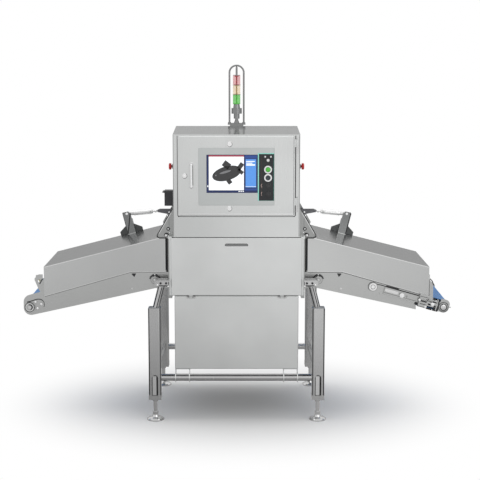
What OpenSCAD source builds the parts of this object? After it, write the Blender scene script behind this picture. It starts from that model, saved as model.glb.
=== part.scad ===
// Food x-ray inspection machine with a hump-shaped belt conveyor.
// Front is -Y, the belt runs along X, up is +Z, and the origin is on the floor
// at the middle of the machine.

/* [Stand] */
// Half the spacing of the legs along the conveyor
leg_x = 495; // [480:1:530]
// Half the spacing of the legs from front to back
leg_y = 405; // [400:1:425]
// Outer width of a leg tube
leg_w = 74; // [60:1:80]
// Wall of a leg tube
leg_wall = 3; // [2:0.5:5]
// Outer corner radius of a leg tube
leg_r = 11; // [5:1:16]
// Underside of the legs above the floor
base_z = 131; // [115:1:150]
// Height of the legs from their underside
leg_h = 567; // [540:1:590]
// Outer diameter of the tubes between the legs
tube_d = 42; // [34:1:48]
// Height of those tubes above the floor
tube_z = 264; // [255:1:270]
// Diameter of the slanted props on the legs
prop_d = 40; // [30:1:46]

/* [Feet] */
// Diameter of a foot plate
foot_d = 104; // [90:1:104]
// Diameter of a foot spindle
spindle_d = 24; // [18:1:28]
// How far a foot can be screwed out
foot_travel = 30; // [20:1:40]

/* [Cabinets] */
// Underside of the lower cabinet above the floor
lower_z = 312; // [300:1:325]
// Height of the lower cabinet
lower_h = 456; // [440:1:470]
// Width of the lower cabinet
lower_w = 750; // [730:1:760]
// Height of the tunnel section
tunnel_h = 359; // [350:1:375]
// How far the tunnel section stands out past each side of the upper cabinet
tunnel_out = 15; // [12:1:20]
// Width of the upper cabinet
upper_w = 756; // [740:1:765]
// Height of the upper cabinet at its front edge
upper_h = 614; // [600:1:660]
// Rise of the roof from the front edge to its ridge
roof_rise = 25; // [15:1:40]
// Front face of the upper cabinet, in front of the middle
front_y = 408; // [404:1:412]
// Back face of the cabinets, behind the middle
back_y = 385; // [370:1:395]
// Thickness of the cabinet sheets
sheet = 3; // [2:0.5:4]
// Thickness of the lined tunnel walls
lined_wall = 6; // [4:0.5:8]

/* [Doors] */
// Distance of the cabinet door from the sides of the cabinet
door_side = 31; // [30:1:36]
// Height of the cabinet door
door_h = 479; // [470:1:484]
// Depth of the cabinet door
door_t = 22; // [18:0.5:24]
// Depth of the tunnel access door
access_t = 20; // [16:0.5:22]
// Sheet thickness of the doors
door_sheet = 3; // [2:0.5:4]
// Width of the finger slot in the access door
grip_w = 133; // [110:1:150]
// Height of the finger slot
grip_h = 14; // [12:1:18]

/* [Operator panel] */
// Width of the display bezel
bezel_w = 450; // [440:1:460]
// Height of the display bezel
bezel_h = 341; // [335:1:350]
// Distance of the screen from the left side of the bezel
screen_side = 47; // [44:1:60]
// Height of the screen
screen_h = 227; // [215:1:235]
// Width of the button strip
strip_w = 92; // [88:1:94]
// Height of the button strip
strip_h = 279; // [270:1:290]
// Radius of a push-button
button_r = 14.5; // [12:0.5:16]
// Travel of a push-button
button_travel = 4; // [2:0.5:5]
// Radius of an emergency stop head
mushroom_r = 20; // [17:0.5:24]

/* [Conveyor] */
// Belt surface above the floor of the tunnel
belt_lift = 122; // [115:1:126]
// Distance of the end rollers from the middle
roller_x = 1267; // [1240:1:1290]
// How far the end roller centres lie below the belt in the tunnel
end_drop = 213; // [200:1:225]
// Distance of the bends in the belt from the middle
knuckle_x = 642; // [620:1:660]
// Radius of the end rollers
roller_r = 34; // [31:0.5:34]
// Radius of the return rollers
return_r = 20; // [16:0.5:22]
// Radius of the end roller shafts
shaft_r = 10; // [8:0.5:12]
// Belt width
belt_w = 524; // [480:1:530]
// Belt thickness
belt_t = 3; // [2:0.5:4]
// Outer spacing of the side plates
side_w = 584; // [580:1:588]
// Thickness of the side plates
side_t = 4; // [3:0.5:6]
// Travel of the belt take-up
take_up_travel = 30; // [15:1:32]

/* [Hoods] */
// Outer width of the hoods
hood_w = 600; // [598:1:606]
// Sheet thickness of the hoods
hood_t = 2.5; // [1.5:0.5:3]
// Outer end of the hoods
hood_end_x = 1176; // [1160:1:1185]
// Height of the hood roof at its outer end, above the end rollers
hood_end_rise = 251; // [240:1:270]
// Radius of a hood strut cylinder
strut_r = 13; // [13:0.5:14]
// Radius of a hood strut rod
strut_rod_r = 5; // [4:0.5:5]

/* [Light tower] */
// Width of the guard hoop
hoop_w = 100; // [90:1:120]
// Height of the guard hoop
hoop_h = 362; // [345:1:400]
// Radius of the guard hoop's rod
hoop_r = 5.5; // [4:0.5:6]
// Radius of the lamps
lamp_r = 23; // [20:0.5:26]
// Height of one lamp
lamp_h = 59; // [50:1:62]

/* [Hidden] */

$fn = 48;

// Overrun of every cut past the face it leaves
cut = 1;
// Radial clearance of shafts, pins and spindles in their bores
run_gap = 0.05;
// Clearance between pieces that slide or seat without a fit
seat_gap = 0.3;

// Heights that stack up from the floor
leg_top = base_z + leg_h;
tunnel_z = lower_z + lower_h;
upper_z = tunnel_z + tunnel_h;
eaves_z = upper_z + upper_h;
ridge_z = eaves_z + roof_rise;
belt_z = tunnel_z + belt_lift;
roller_z = belt_z - end_drop;

// Belt line: outer radius at the rollers, slope and the tangent points
belt_gap = 0.4;
belt_in_r = roller_r + belt_gap;
belt_out_r = belt_in_r + belt_t;
span_x = roller_x - knuckle_x;
slope_a = atan2(end_drop, span_x) - asin(belt_out_r / norm([span_x, end_drop]));
slope_t = tan(slope_a);
belt_drop = 2 * belt_out_r / cos(slope_a);

// Base block, nut and slot of a leg
block_h = 28;
block_over = 1;
nut_h = 16;
nut_r = 17;
cap_t = 4;
slot_w = 38;
slot_h = 127;
// Head bar that bolts a leg frame to the tunnel section
head_low = 63;
head_high = 99;
head_in = 350;
head_over = 20;
head_chamfer = 7;
head_bolt_r = 6;
head_bolt_h = 4;
head_bolt_in = 18;
head_bolt_out = 51;
prop_top_in = 42;
prop_foot_in = 8;
// Brackets that carry the lower cabinet on the front and rear tubes
saddle_in = 284;
saddle_out = 373;
saddle_t = 5;
saddle_back = 62;
saddle_r = 24;

// Feet
foot_plate_h = 12;
foot_boss_r = 17;
foot_boss_z = 51;
foot_cone_z = 32;
spindle_hold = 79;

// Cover of the lower cabinet, its body and the folded rims
cover_t = 12;
cover_y = 392;
cover_gap = 2;
edge_r = 5;
body_r = 6;
rim = 20;
gland_r = 14;
gland_h = 22;
gland_x = 150;
gland_z = 60;
gland_step = 60;

// Window through the tunnel section and the collars round it
window_w = 600;
window_low = 12;
window_high = 15;
collar_out = 21;
collar_w = 690;
collar_drop = 29;
collar_corner = 18;
rest_l = 40;
rest_w = 16;
flange_t = 12;
seal_short = 5;
seal_w = 604;
seal_in = 586;
seal_top = 16;
seal_wall = 12;
slit_x = 12;
slit_y = 210;

// Upper cabinet: door opening and ridge
ridge_y = 20;
opening_side = 43;
opening_low = 139;
opening_top = 20;
door_low = 127;
gasket_w = 7;
gasket_gap = 2;
door_gap = 0.6;
door_r = 14;
door_edge_r = 5;
hinge_in = 11;
hinge_y = 424;
hinge_r = 7;
hinge_pin_r = 3.5;
hinge_len = 85;
hinge_split = 39;
hinge_high = 502;
hinge_low = 154;
leaf_t = 6;

// Latches: head, spindle and cam
latch_r = 11;
latch_head = 4;
latch_pin_r = 6;
latch_cam_w = 16;
latch_cam_t = 4;
latch_cam_l = 44;
latch_slot_w = 3;
latch_slot_d = 2;
latch_top_pos = [-40, 558];
latch_side_in = 39;
latch_side_low = 370;
latch_bottom_pos = [-42, 175];

// Handle on the cabinet door
handle_in = 19;
handle_low = 305;
handle_high = 439;
handle_r = 5.5;
handle_out = 20;

// Display bezel, screen and the housing behind them
bezel_low = 195;
bezel_t = 4;
bezel_in = 1.5;
bezel_gap = 0.5;
unit_side = 10;
unit_depth = 72;
screen_gap = 4;
screen_low = 269;
screen_t = 1.5;
screen_in = 0.5;
strip_side = 2.5;
strip_low = 224;
strip_t = 1.5;
strip_rim = 3;
strip_rim_t = 0.8;
button_off = 10.5;
start_low = 408;
halt_low = 359;
cap_low_a = 311;
cap_low_b = 260;
cap_off = 13.5;
cap_r = 15;
cap_h = 3;
ring_w = 8;
ring_h = 4;
button_out = 2;
button_deep = 10;
dot_r = 4;
dot_big_r = 6;
dot_h = 1.5;
dot_side = 17;
dot_low = 484;
dot_big_low = 463;

// Emergency stops on the cabinet sides
stop_y = 330;
stop_low = 418;
collar_r = 15;
collar_h = 7;
stop_travel = 5;
stop_head_h = 15;
stop_stem_r = 8;
stop_stem_in = 12;
stop_gap = 0.8;

// Service port on the left side
port_y = 320;
port_w = 80;
port_h = 90;
port_low = 183;
port_d = 50;
port_wall = 4;
flap_t = 4;
flap_nose = 13;
flap_barrel_r = 6;

// Access door hinge under the tunnel section
access_pin_y = 402;
access_pin_z = 8;
access_pin_r = 3;
access_barrel_r = 6;
access_hinge_x = 275;
access_hinge_w = 52;
access_mid_w = 22;
access_gap = 1.5;
access_back = 2;
grip_low = 303;
grip_cup = 12;
grip_cup_h = 34;
grip_cup_wall = 2;
grip_cup_side = 6;

// Side plates: edges, end guards, notches and hubs
plate_above = 12;
plate_crown = 15;
plate_low = 95;
plate_low_x = 494;
plate_end_r = 45;
plate_end_in = 7;
plate_end_up = 31;
plate_end_down = 5;
plate_low_slope = 12.4;
plate_cut_x = 1099;
plate_cut_rise = 26;
guard_out = 27;
guard_rise = 171;
guard_bevel = 25;
notch_x = 630;
notch_w = 24;
notch_h = 16;
notch_below = 6;
hub_x = 499;
hub_below = 44;
hub_r = 28;
hub_gap_in = 29;
hub_gap_r = 35;
hub_dot_in = 10;
hub_dot_up = 30;
hub_dot_r = 5.5;
hub_h = 6;
hub_pin_r = 12;
hub_pin_h = 4;
drum_hub_r = 31;
drum_hub_h = 12;
drum_ring_r = 20;
drum_ring_d = 4;
pocket_r = 35;
pocket_dx = 56;
pocket_dz = 16;
pocket_tip = [-18, 32];
pocket_bolts = [[-20, 17], [15, 4], [-8, -22]];
pocket_bolt_r = 7;
pocket_bolt_h = 5;
pocket_wall_t = 2;
flat_r = 6;

// Rollers, bed and cross bars
roller_l = 544;
return_pin_r = 6;
bed_t = 3;
bed_end = 50;
bar_w = 20;
bar_xs = [60, 380, 560, 760, 980, 1150];

// X-ray line: generator, collimator and detector
tank_w = 300;
tank_d = 300;
tank_h = 260;
tank_lift = 63;
tank_lid_h = 8;
tank_lid_over = 8;
fin_t = 4;
fin_d = 14;
fins = 7;
beam_w = 60;
beam_d = 440;
detector_w = 90;
detector_low = 10;
detector_h = 50;
window_gap = 6;

// Control unit on the back wall
panel_t = 4;
panel_side = 70;
panel_low = 60;
panel_rise = 530;
module_rows = [[-220, 320, 180, 90], [-20, 340, 120, 110], [160, 300, 150, 80],
    [-180, 110, 240, 70], [120, 100, 220, 100]];
module_h = 150;

// Light tower
tower_plate_t = 18;
tower_plate_w = 110;
tower_plate_d = 60;
tower_foot_w = 84;
tower_stem_r = 10;
tower_stem_h = 28;
tower_low_r = 18;
tower_low_h = 31;
tower_collar_r = 32;
tower_collar_h = 34;
tower_neck_h = 25;
tower_neck_r = 21;
tower_cap_h = 3;
tower_cap_r = 22;
tower_tip_r = 6;
tower_bead = 8;
hoop_bend = 44;
hoop_foot_r = 9;
hoop_foot_h = 6;

// Hood outline, hinge, post and wings
seam_lift = 6;
seam_a = 15.9;
hood_in_gap = 8;
hinge_out = 32;
hinge_drop = 2;
hood_in_top = 8.4;
hinge_rod_r = 6;
hinge_rod_l = 660;
hinge_ball_r = 11;
knuckle_r = 10;
knuckle_l = 60;
knuckle_y = 200;
leaf_in = 36;
cheek_t = 4;
cheek_gap = 3;
cheek_rise = 171;
cheek_past = 58;
cheek_drop = 19;
cheek_fold = 14;
post_y = 252;
post_d = 42;
post_w = 52;
post_t = 3;
post_h = 146;
post_past = 259;
post_pin = 133;
post_cut = 40;
post_pin_off = 1.5;
wing_w = 150;
wing_in_h = 58;
wing_out_h = 24;
wing_t = 4;
wing_y = 282;
strut_pin_r = 4;
strut_eye_r = 9;
strut_eye_w = 8;
strut_bore_gap = 2;
strut_l = 172;
strut_start = 15;
strut_rod_l = 150;
strut_rod_in = 12;
bracket_x = 84;
bracket_rise = 75;
bracket_t = 4;
bracket_head = 13;
bracket_foot = 33;
strut_y = 270;

// Take-up: guide, housing, arm and adjusting screw
boss_x = 834;
boss_drop = 86;
boss_r = 28;
boss_h = 10;
boss_hole_r = 9;
arm_l = 380;
arm_w = 44;
arm_off = 4;
arm_t = 10;
arm_gap = 1;
arm_end = 33;
arm_end_left = 27;
arm_end_high = 48;
arm_end_corner = 26;
arm_end_right = 12;
arm_rim = 7;
guide_w = 7;
guide_l = 225;
guide_at = 400;
clamp_at = 268;
clamp_r = 13;
clamp_h = 9;
clamp_pin_r = 5;
housing_at = 163;
housing_l = 59;
housing_low = 33;
housing_high = 37;
housing_lip = 46;
housing_lip_in = 6;
housing_lip_gap = 3;
housing_slot_low = 13;
housing_slot_high = 24;
housing_slot_in = 6;
housing_t = 20;
screw_r = 5;
screw_out = 10;
screw_from = 150;
screw_to = 40;
screw_nut_r = 9;
screw_nut_h = 9;
screw_nut_gap = 1;
fork_t = 6;
fork_over = 12;
fork_at = 50;
tip_r = 4;

// Belt sensor on the left end guard
sensor_in = 18.5;
sensor_drop = 2;
sensor_gap = 8;
sensor_w = 50;
sensor_h = 68;
sensor_t = 3;
sensor_window = 32;
sensor_stem = 22;
sensor_body = [20, 24, 30];
sensor_lens_r = 7;
sensor_lens_h = 3;

// Positions worked out from the values above
tunnel_w = upper_w + 2 * tunnel_out;
door_w = upper_w - 2 * door_side;
latch_side_pos = [latch_side_in - door_w / 2, latch_side_low];
handle_x = (bezel_w + door_w) / 4 - handle_in;
strip_x = bezel_w / 2 - strip_side - strip_w / 2;
screen_w = bezel_w - screen_side - screen_gap - strip_w - strip_side;
screen_x = screen_side + screen_w / 2 - bezel_w / 2;
button_x = strip_x + button_off;
cap_x = strip_x + cap_off;
collar_x = tunnel_w / 2 + collar_out;
hinge_x = tunnel_w / 2 + hinge_out;
hood_in_x = hinge_x + hood_in_gap;
seal_x = hood_in_x - seal_short;
post_x = hinge_x + post_past;
guard_x = hood_end_x + guard_out;
guard_z = roller_z + guard_rise;
seam_z = belt_z + seam_lift;
hinge_z = upper_z - hinge_drop;
hood_top_z = hinge_z - hood_in_top;
hood_end_z = roller_z + hood_end_rise;
hood_a = atan2(hood_top_z - hood_end_z, hood_end_x - hood_in_x);
side_y = side_w / 2;
inner_y = side_y - side_t;
door_face_y = front_y + door_t;
door_z = upper_z + door_low;
door_axis_x = door_w / 2 + hinge_in;
bezel_z = upper_z + bezel_low;
bezel_face_y = door_face_y - bezel_in;
strip_face_y = bezel_face_y + strip_t;
tower_z = ridge_z + tower_plate_t;
lamps_z = tower_z + tower_stem_h + tower_low_h + tower_collar_h + tower_neck_h;
leg_face = leg_w / 2;
bracket_z = hinge_z + bracket_rise;
spindle_top = base_z + block_h + foot_travel + spindle_hold;

// Points of an arc about c from angle a0 to a1 in n steps
function arc(c, r, a0, a1, n) = [for (i = [0 : n])
    let (a = a0 + (a1 - a0) * i / n) [c[0] + r * cos(a), c[1] + r * sin(a)]];

// Outline of a rectangle w by h about the origin with rounded corners
function round_rect(w, h, r, n = 4) = concat(
    arc([w / 2 - r, h / 2 - r], r, 0, 90, n),
    arc([r - w / 2, h / 2 - r], r, 90, 180, n),
    arc([r - w / 2, r - h / 2], r, 180, 270, n),
    arc([w / 2 - r, r - h / 2], r, 270, 360, n));

// Belt surface at a distance x from the middle, lift above it
function belt_line(x, lift = 0) =
    belt_z + lift / (x > knuckle_x ? cos(slope_a) : 1) - max(0, x - knuckle_x) * slope_t;

// Seam between hood and side plate
function seam_line(x) = seam_z - max(0, x - knuckle_x) * tan(seam_a);

// Lower edge of the side plates
function plate_edge(x) = belt_z - plate_low - max(0, x - plate_low_x) * tan(plate_low_slope);

// An outline drawn in x and z, given depth t from y0 backwards
module slab_y(y0, t) {
    translate([0, y0 + t, 0])
        rotate([90, 0, 0])
            linear_extrude(height = t) children();
}

// An outline drawn in y and z, given depth t from x0 along +X
module slab_x(x0, t) {
    translate([x0, 0, 0])
        rotate([90, 0, 90])
            linear_extrude(height = t) children();
}

module box_between(a, b) {
    translate(a) cube(b - a);
}

module rod_y(p, r, y0, y1) {
    translate([p[0], y1, p[1]])
        rotate([90, 0, 0])
            cylinder(r = r, h = y1 - y0);
}

module rod_x(p, r, x0, x1) {
    translate([x0, p[0], p[1]])
        rotate([0, 90, 0])
            cylinder(r = r, h = x1 - x0);
}

module mirror_x() {
    children();
    mirror([1, 0, 0]) children();
}

module mirror_y() {
    children();
    mirror([0, 1, 0]) children();
}

// A pan with rounded corners and a rounded front edge, its face at -y
module pan(w, h, t, face, z0, r, e) {
    intersection() {
        translate([0, 0, z0 + h / 2])
            slab_y(-face, t) polygon(round_rect(w, h, r));
        translate([0, 0, z0])
            linear_extrude(height = h)
                polygon(concat([[w / 2, t - face], [-w / 2, t - face]],
                    arc([e - w / 2, e - face], e, 180, 270, 4),
                    arc([w / 2 - e, e - face], e, 270, 360, 4)));
        slab_x(-w / 2, w)
            polygon(concat([[t - face, z0], [t - face, z0 + h]],
                arc([e - face, z0 + h - e], e, 90, 180, 4),
                arc([e - face, z0 + e], e, 180, 270, 4)));
    }
}

// Stand

module leg() {
    block_w = leg_w + 2 * block_over;
    difference() {
        union() {
            translate([leg_x, -leg_y, base_z])
                linear_extrude(height = leg_h)
                    polygon(round_rect(leg_w, leg_w, leg_r));
            translate([leg_x - block_w / 2, -leg_y - block_w / 2, base_z])
                cube([block_w, block_w, block_h]);
            translate([leg_x, -leg_y, base_z - nut_h])
                cylinder(r = nut_r, h = nut_h, $fn = 6);
            prop();
            head_bar();
        }
        translate([leg_x, -leg_y, base_z + block_h])
            linear_extrude(height = leg_h - block_h - cap_t)
                polygon(round_rect(leg_w - 2 * leg_wall, leg_w - 2 * leg_wall, leg_r - leg_wall));
        slab_y(-leg_y - leg_face - cut, leg_wall + 2 * cut)
            polygon(concat(
                [[leg_x - slot_w / 2, base_z + block_h], [leg_x + slot_w / 2, base_z + block_h]],
                arc([leg_x, base_z + block_h + slot_h - slot_w / 2], slot_w / 2, 0, 180, 8)));
        translate([leg_x, -leg_y, base_z - nut_h - cut])
            cylinder(d = spindle_d + 2 * run_gap, h = nut_h + block_h + 2 * cut);
    }
}

// Slanted tube from the top of a leg in to its head bar
module prop() {
    foot_x = leg_x - prop_foot_in;
    foot_z = leg_top - cap_t;
    top_z = tunnel_z + head_low;
    reach = [leg_x - prop_top_in - foot_x, top_z - foot_z];
    translate([foot_x, -leg_y, foot_z])
        rotate([0, atan2(reach[0], reach[1]), 0])
            cylinder(d = prop_d, h = norm(reach) + head_bolt_h);
}

module head_bar() {
    low = tunnel_z + head_low;
    high = tunnel_z + head_high;
    inner = tunnel_w / 2 + flange_t;
    outer = leg_x - head_bolt_h;
    slab_y(-leg_y - head_over, leg_y + head_over - head_in)
        polygon([[inner, low - head_chamfer], [inner + rim, low],
            [outer - head_chamfer, low], [outer, low + head_chamfer],
            [outer, high - head_chamfer], [outer - head_chamfer, high], [inner, high]]);
    for (x = [head_bolt_in, head_bolt_out])
        rod_y([inner + x, (low + high) / 2], head_bolt_r,
            -leg_y - head_over - head_bolt_h, -leg_y - head_over + cut);
}

module leg_frame_right() {
    color("silver")
    union() {
        leg();
        mirror([0, 1, 0]) leg();
        rod_y([leg_x, tube_z], tube_d / 2, leg_face - leg_y - cut, leg_y - leg_face + cut);
    }
}

module leg_frame_left() {
    mirror([1, 0, 0]) leg_frame_right();
}

module cross_tubes() {
    color("silver")
    mirror_y()
        rod_x([leg_y, tube_z], tube_d / 2, leg_face - leg_x, leg_x - leg_face);
}

module cabinet_saddles() {
    color("silver")
    mirror_x() mirror_y()
        difference() {
            union() {
                for (x = [saddle_in, saddle_out - saddle_t])
                    slab_x(x, saddle_t)
                        polygon(concat(
                            [[saddle_back - leg_y, lower_z], [-cover_y + cover_t, lower_z]],
                            arc([-leg_y, tube_z], saddle_r + saddle_t, 100, 300, 10)));
                box_between([saddle_in, cover_t - cover_y, lower_z - saddle_t],
                    [saddle_out, saddle_back - leg_y, lower_z]);
            }
            rod_x([-leg_y, tube_z], tube_d / 2 + seat_gap, saddle_in - cut, saddle_out + cut);
        }
}

// Feet

module foot(x, y) {
    color("gainsboro")
    translate([x, y, 0])
        rotate_extrude()
            polygon([[0, 0], [foot_d / 2, 0], [foot_d / 2, foot_plate_h / 2],
                [foot_d / 2 - foot_plate_h / 2, foot_plate_h],
                [foot_boss_r + foot_plate_h / 2, foot_plate_h + foot_plate_h / 2],
                [foot_boss_r, foot_cone_z], [foot_boss_r, foot_boss_z],
                [spindle_d / 2, foot_boss_z], [spindle_d / 2, spindle_top], [0, spindle_top]]);
}

module foot_front_left() {
    foot(-leg_x, -leg_y);
}

module foot_front_right() {
    foot(leg_x, -leg_y);
}

module foot_rear_left() {
    foot(-leg_x, leg_y);
}

module foot_rear_right() {
    foot(leg_x, leg_y);
}

// Lower cabinet and its cover

module lower_cabinet() {
    front = cover_y - cover_t;
    depth = front + back_y;
    color("silver")
    union() {
        difference() {
            translate([0, (back_y - front) / 2, lower_z])
                linear_extrude(height = lower_h)
                    polygon(round_rect(lower_w, depth, body_r));
            box_between([sheet - lower_w / 2, sheet - front, lower_z + sheet],
                [lower_w / 2 - sheet, back_y - sheet, tunnel_z - sheet]);
            box_between([rim - lower_w / 2, -front - cut, lower_z + rim],
                [lower_w / 2 - rim, sheet + cut - front, tunnel_z - rim]);
        }
        for (i = [0 : 2])
            rod_y([gland_x + i * gland_step, lower_z + gland_z], gland_r, back_y - cut,
                back_y + gland_h);
    }
}

module lower_cover() {
    color("silver")
    difference() {
        pan(lower_w, lower_h - cover_gap, cover_t, cover_y, lower_z, body_r, edge_r);
        box_between([sheet - lower_w / 2, sheet - cover_y, lower_z + sheet],
            [lower_w / 2 - sheet, cover_t + cut - cover_y, tunnel_z - cover_gap - sheet]);
    }
}

// Tunnel section with its collars

module window(x0, x1, wide, low, high) {
    box_between([x0, -wide / 2, low], [x1, wide / 2, high]);
}

module tunnel_housing() {
    half = tunnel_w / 2;
    front = front_y - access_t - access_back;
    low = tunnel_z + window_low;
    high = upper_z - window_high;
    color("silver")
    union() {
        plate_rests();
        tunnel_shell(half, front, low, high);
    }
}

module tunnel_shell(half, front, low, high) {
    difference() {
        union() {
            box_between([-half, -front, tunnel_z], [half, back_y, upper_z]);
            mirror_x() {
                box_between([half - cut, -front, tunnel_z], [half + flange_t, back_y, upper_z]);
                slab_x(half, collar_x - half)
                    polygon([[-collar_w / 2, upper_z], [-collar_w / 2, tunnel_z + collar_corner],
                        [collar_corner - collar_w / 2, tunnel_z - collar_drop],
                        [collar_w / 2 - collar_corner, tunnel_z - collar_drop],
                        [collar_w / 2, tunnel_z + collar_corner], [collar_w / 2, upper_z]]);
            }
        }
        box_between([lined_wall - half, -front - cut, tunnel_z + sheet],
            [half - lined_wall, back_y - sheet, upper_z - sheet]);
        window(-collar_x - cut, collar_x + cut, window_w, low, high);
        box_between([-slit_x, -slit_y, upper_z - sheet - cut], [slit_x, slit_y, upper_z + cut]);
    }
}

// Blocks on the window sills that carry the side plates
module plate_rests() {
    mirror_x() mirror_y()
        box_between([collar_x - rest_l, window_w / 2 - rest_w, tunnel_z + window_low],
            [collar_x, window_w / 2, plate_edge(0)]);
}

module hood_seals() {
    color("dimgray")
    mirror_x()
        difference() {
            window(collar_x, seal_x, seal_w, seam_z, upper_z - seal_top);
            window(collar_x - cut, seal_x + cut, seal_in, seam_z - cut,
                upper_z - seal_top - seal_wall);
        }
}

// Access door in front of the tunnel

module access_door() {
    high = tunnel_h - 2 * access_gap;
    low = tunnel_z + access_gap;
    slot_z = tunnel_z + grip_low;
    cup_w = grip_w + 2 * grip_cup_side;
    color("silver")
    difference() {
        union() {
            difference() {
                pan(tunnel_w, high, access_t, front_y, low, body_r, edge_r);
                box_between([door_sheet - tunnel_w / 2, door_sheet - front_y, low + door_sheet],
                    [tunnel_w / 2 - door_sheet, cut + access_t - front_y, low + high - door_sheet]);
            }
            box_between([-cup_w / 2, door_sheet - front_y - cut, slot_z - grip_cup_side],
                [cup_w / 2, grip_cup + door_sheet - front_y, slot_z + grip_cup_h]);
            mirror_x() {
                rod_x([-access_pin_y, tunnel_z - access_pin_z], access_barrel_r,
                    access_hinge_x - access_mid_w / 2, access_hinge_x + access_mid_w / 2);
                box_between([access_hinge_x - access_mid_w / 2, -access_pin_y - access_barrel_r,
                    tunnel_z - access_pin_z],
                    [access_hinge_x + access_mid_w / 2, access_barrel_r - access_pin_y,
                    low + door_sheet]);
            }
        }
        box_between([grip_cup_wall - cup_w / 2, door_sheet - front_y,
            slot_z - grip_cup_side + grip_cup_wall],
            [cup_w / 2 - grip_cup_wall, grip_cup + door_sheet - grip_cup_wall - front_y,
            slot_z + grip_cup_h - grip_cup_wall]);
        translate([0, 0, slot_z + grip_h / 2])
            slab_y(-front_y - cut, door_sheet + 2 * cut)
                polygon(round_rect(grip_w, grip_h, grip_h / 3));
        rod_x([-access_pin_y, tunnel_z - access_pin_z], access_pin_r + run_gap,
            -access_hinge_x - access_mid_w, access_hinge_x + access_mid_w);
    }
}

module access_hinge_pins() {
    z = tunnel_z - access_pin_z;
    color("gainsboro")
    mirror_x()
        union() {
            rod_x([-access_pin_y, z], access_pin_r, access_hinge_x - access_hinge_w / 2,
                access_hinge_x + access_hinge_w / 2);
            for (x = [access_hinge_x - access_hinge_w / 2,
                access_hinge_x + access_mid_w / 2 + seat_gap]) {
                wide = (access_hinge_w - access_mid_w) / 2 - seat_gap;
                rod_x([-access_pin_y, z], access_barrel_r, x, x + wide);
                box_between([x, -access_pin_y, z - access_barrel_r],
                    [x + wide, -cover_y, z + access_barrel_r - cover_gap]);
            }
        }
}

// Upper cabinet

module upper_cabinet() {
    half = upper_w / 2;
    in_a = atan2(roof_rise, front_y + ridge_y);
    color("silver")
    difference() {
        union() {
            slab_x(-half, upper_w)
                polygon([[-front_y, upper_z], [-front_y, eaves_z], [ridge_y, ridge_z],
                    [back_y, eaves_z], [back_y, upper_z]]);
        }
        slab_x(sheet - half, upper_w - 2 * sheet)
            polygon([[sheet - front_y, upper_z + sheet], [sheet - front_y, eaves_z - sheet],
                [ridge_y, ridge_z - sheet / cos(in_a)], [back_y - sheet, eaves_z - sheet],
                [back_y - sheet, upper_z + sheet]]);
        box_between([opening_side - half, -front_y - cut, upper_z + opening_low],
            [half - opening_side, sheet + cut - front_y, eaves_z - opening_top]);
        box_between([-slit_x, -slit_y, upper_z - cut], [slit_x, slit_y, upper_z + sheet + cut]);
        rod_x([-stop_y, upper_z + stop_low], stop_stem_r + run_gap, -half - cut, half + cut);
    }
}

module door_gasket() {
    half = upper_w / 2 - opening_side;
    low = upper_z + opening_low;
    high = eaves_z - opening_top;
    color("black")
    difference() {
        translate([0, 0, (low + high) / 2])
            slab_y(-front_y - gasket_gap, gasket_gap)
                polygon(round_rect(2 * (half + gasket_w), high - low + 2 * gasket_w, gasket_w));
        box_between([-half, -front_y - gasket_gap - cut, low], [half, cut - front_y, high]);
    }
}

module door_hinge_pins() {
    color("gainsboro")
    for (z = [hinge_high, hinge_low])
        translate([door_axis_x, -hinge_y, upper_z + z])
            union() {
                cylinder(r = hinge_pin_r, h = hinge_len);
                cylinder(r = hinge_r, h = hinge_split);
                translate([-hinge_r + cut, 0, 0])
                    cube([2 * hinge_r, hinge_y - front_y, hinge_split]);
            }
}

module cabinet_door() {
    z_mid = door_z + door_h / 2;
    color("gainsboro")
    difference() {
        union() {
            difference() {
                pan(door_w, door_h, door_t - door_gap, door_face_y, door_z, door_r, door_edge_r);
                translate([0, 0, z_mid])
                    slab_y(door_sheet - door_face_y, door_t)
                        polygon(round_rect(door_w - 2 * door_sheet, door_h - 2 * door_sheet,
                            door_r - door_sheet));
            }
            for (z = [hinge_high, hinge_low])
                translate([door_axis_x, -hinge_y, upper_z + z + hinge_split + seat_gap]) {
                    cylinder(r = hinge_r, h = hinge_len - hinge_split - seat_gap);
                    translate([-hinge_in - door_sheet / 2, -leaf_t / 2, 0])
                        cube([hinge_in, leaf_t, hinge_len - hinge_split - seat_gap]);
                }
        }
        for (z = [hinge_high, hinge_low])
            translate([door_axis_x, -hinge_y, upper_z + z])
                cylinder(r = hinge_pin_r + run_gap, h = hinge_len + cut);
        translate([0, 0, bezel_z + bezel_h / 2])
            slab_y(-door_face_y - cut, door_sheet + 2 * cut)
                polygon(round_rect(bezel_w + 2 * bezel_gap, bezel_h + 2 * bezel_gap, flat_r));
        for (p = [latch_top_pos, latch_side_pos, latch_bottom_pos])
            rod_y([p[0], upper_z + p[1]], latch_pin_r + run_gap, -door_face_y - cut,
                door_sheet + cut - door_face_y);
    }
}

module door_handle() {
    bar_y = -door_face_y - handle_out;
    color("white")
    union() {
        translate([-handle_x, bar_y, upper_z + handle_low])
            cylinder(r = handle_r, h = handle_high - handle_low);
        for (z = [handle_low + handle_r, handle_high - handle_r])
            rod_y([-handle_x, upper_z + z], handle_r, bar_y, -door_face_y);
        for (z = [handle_low, handle_high])
            translate([-handle_x, bar_y, upper_z + z]) sphere(r = handle_r);
    }
}

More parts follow.
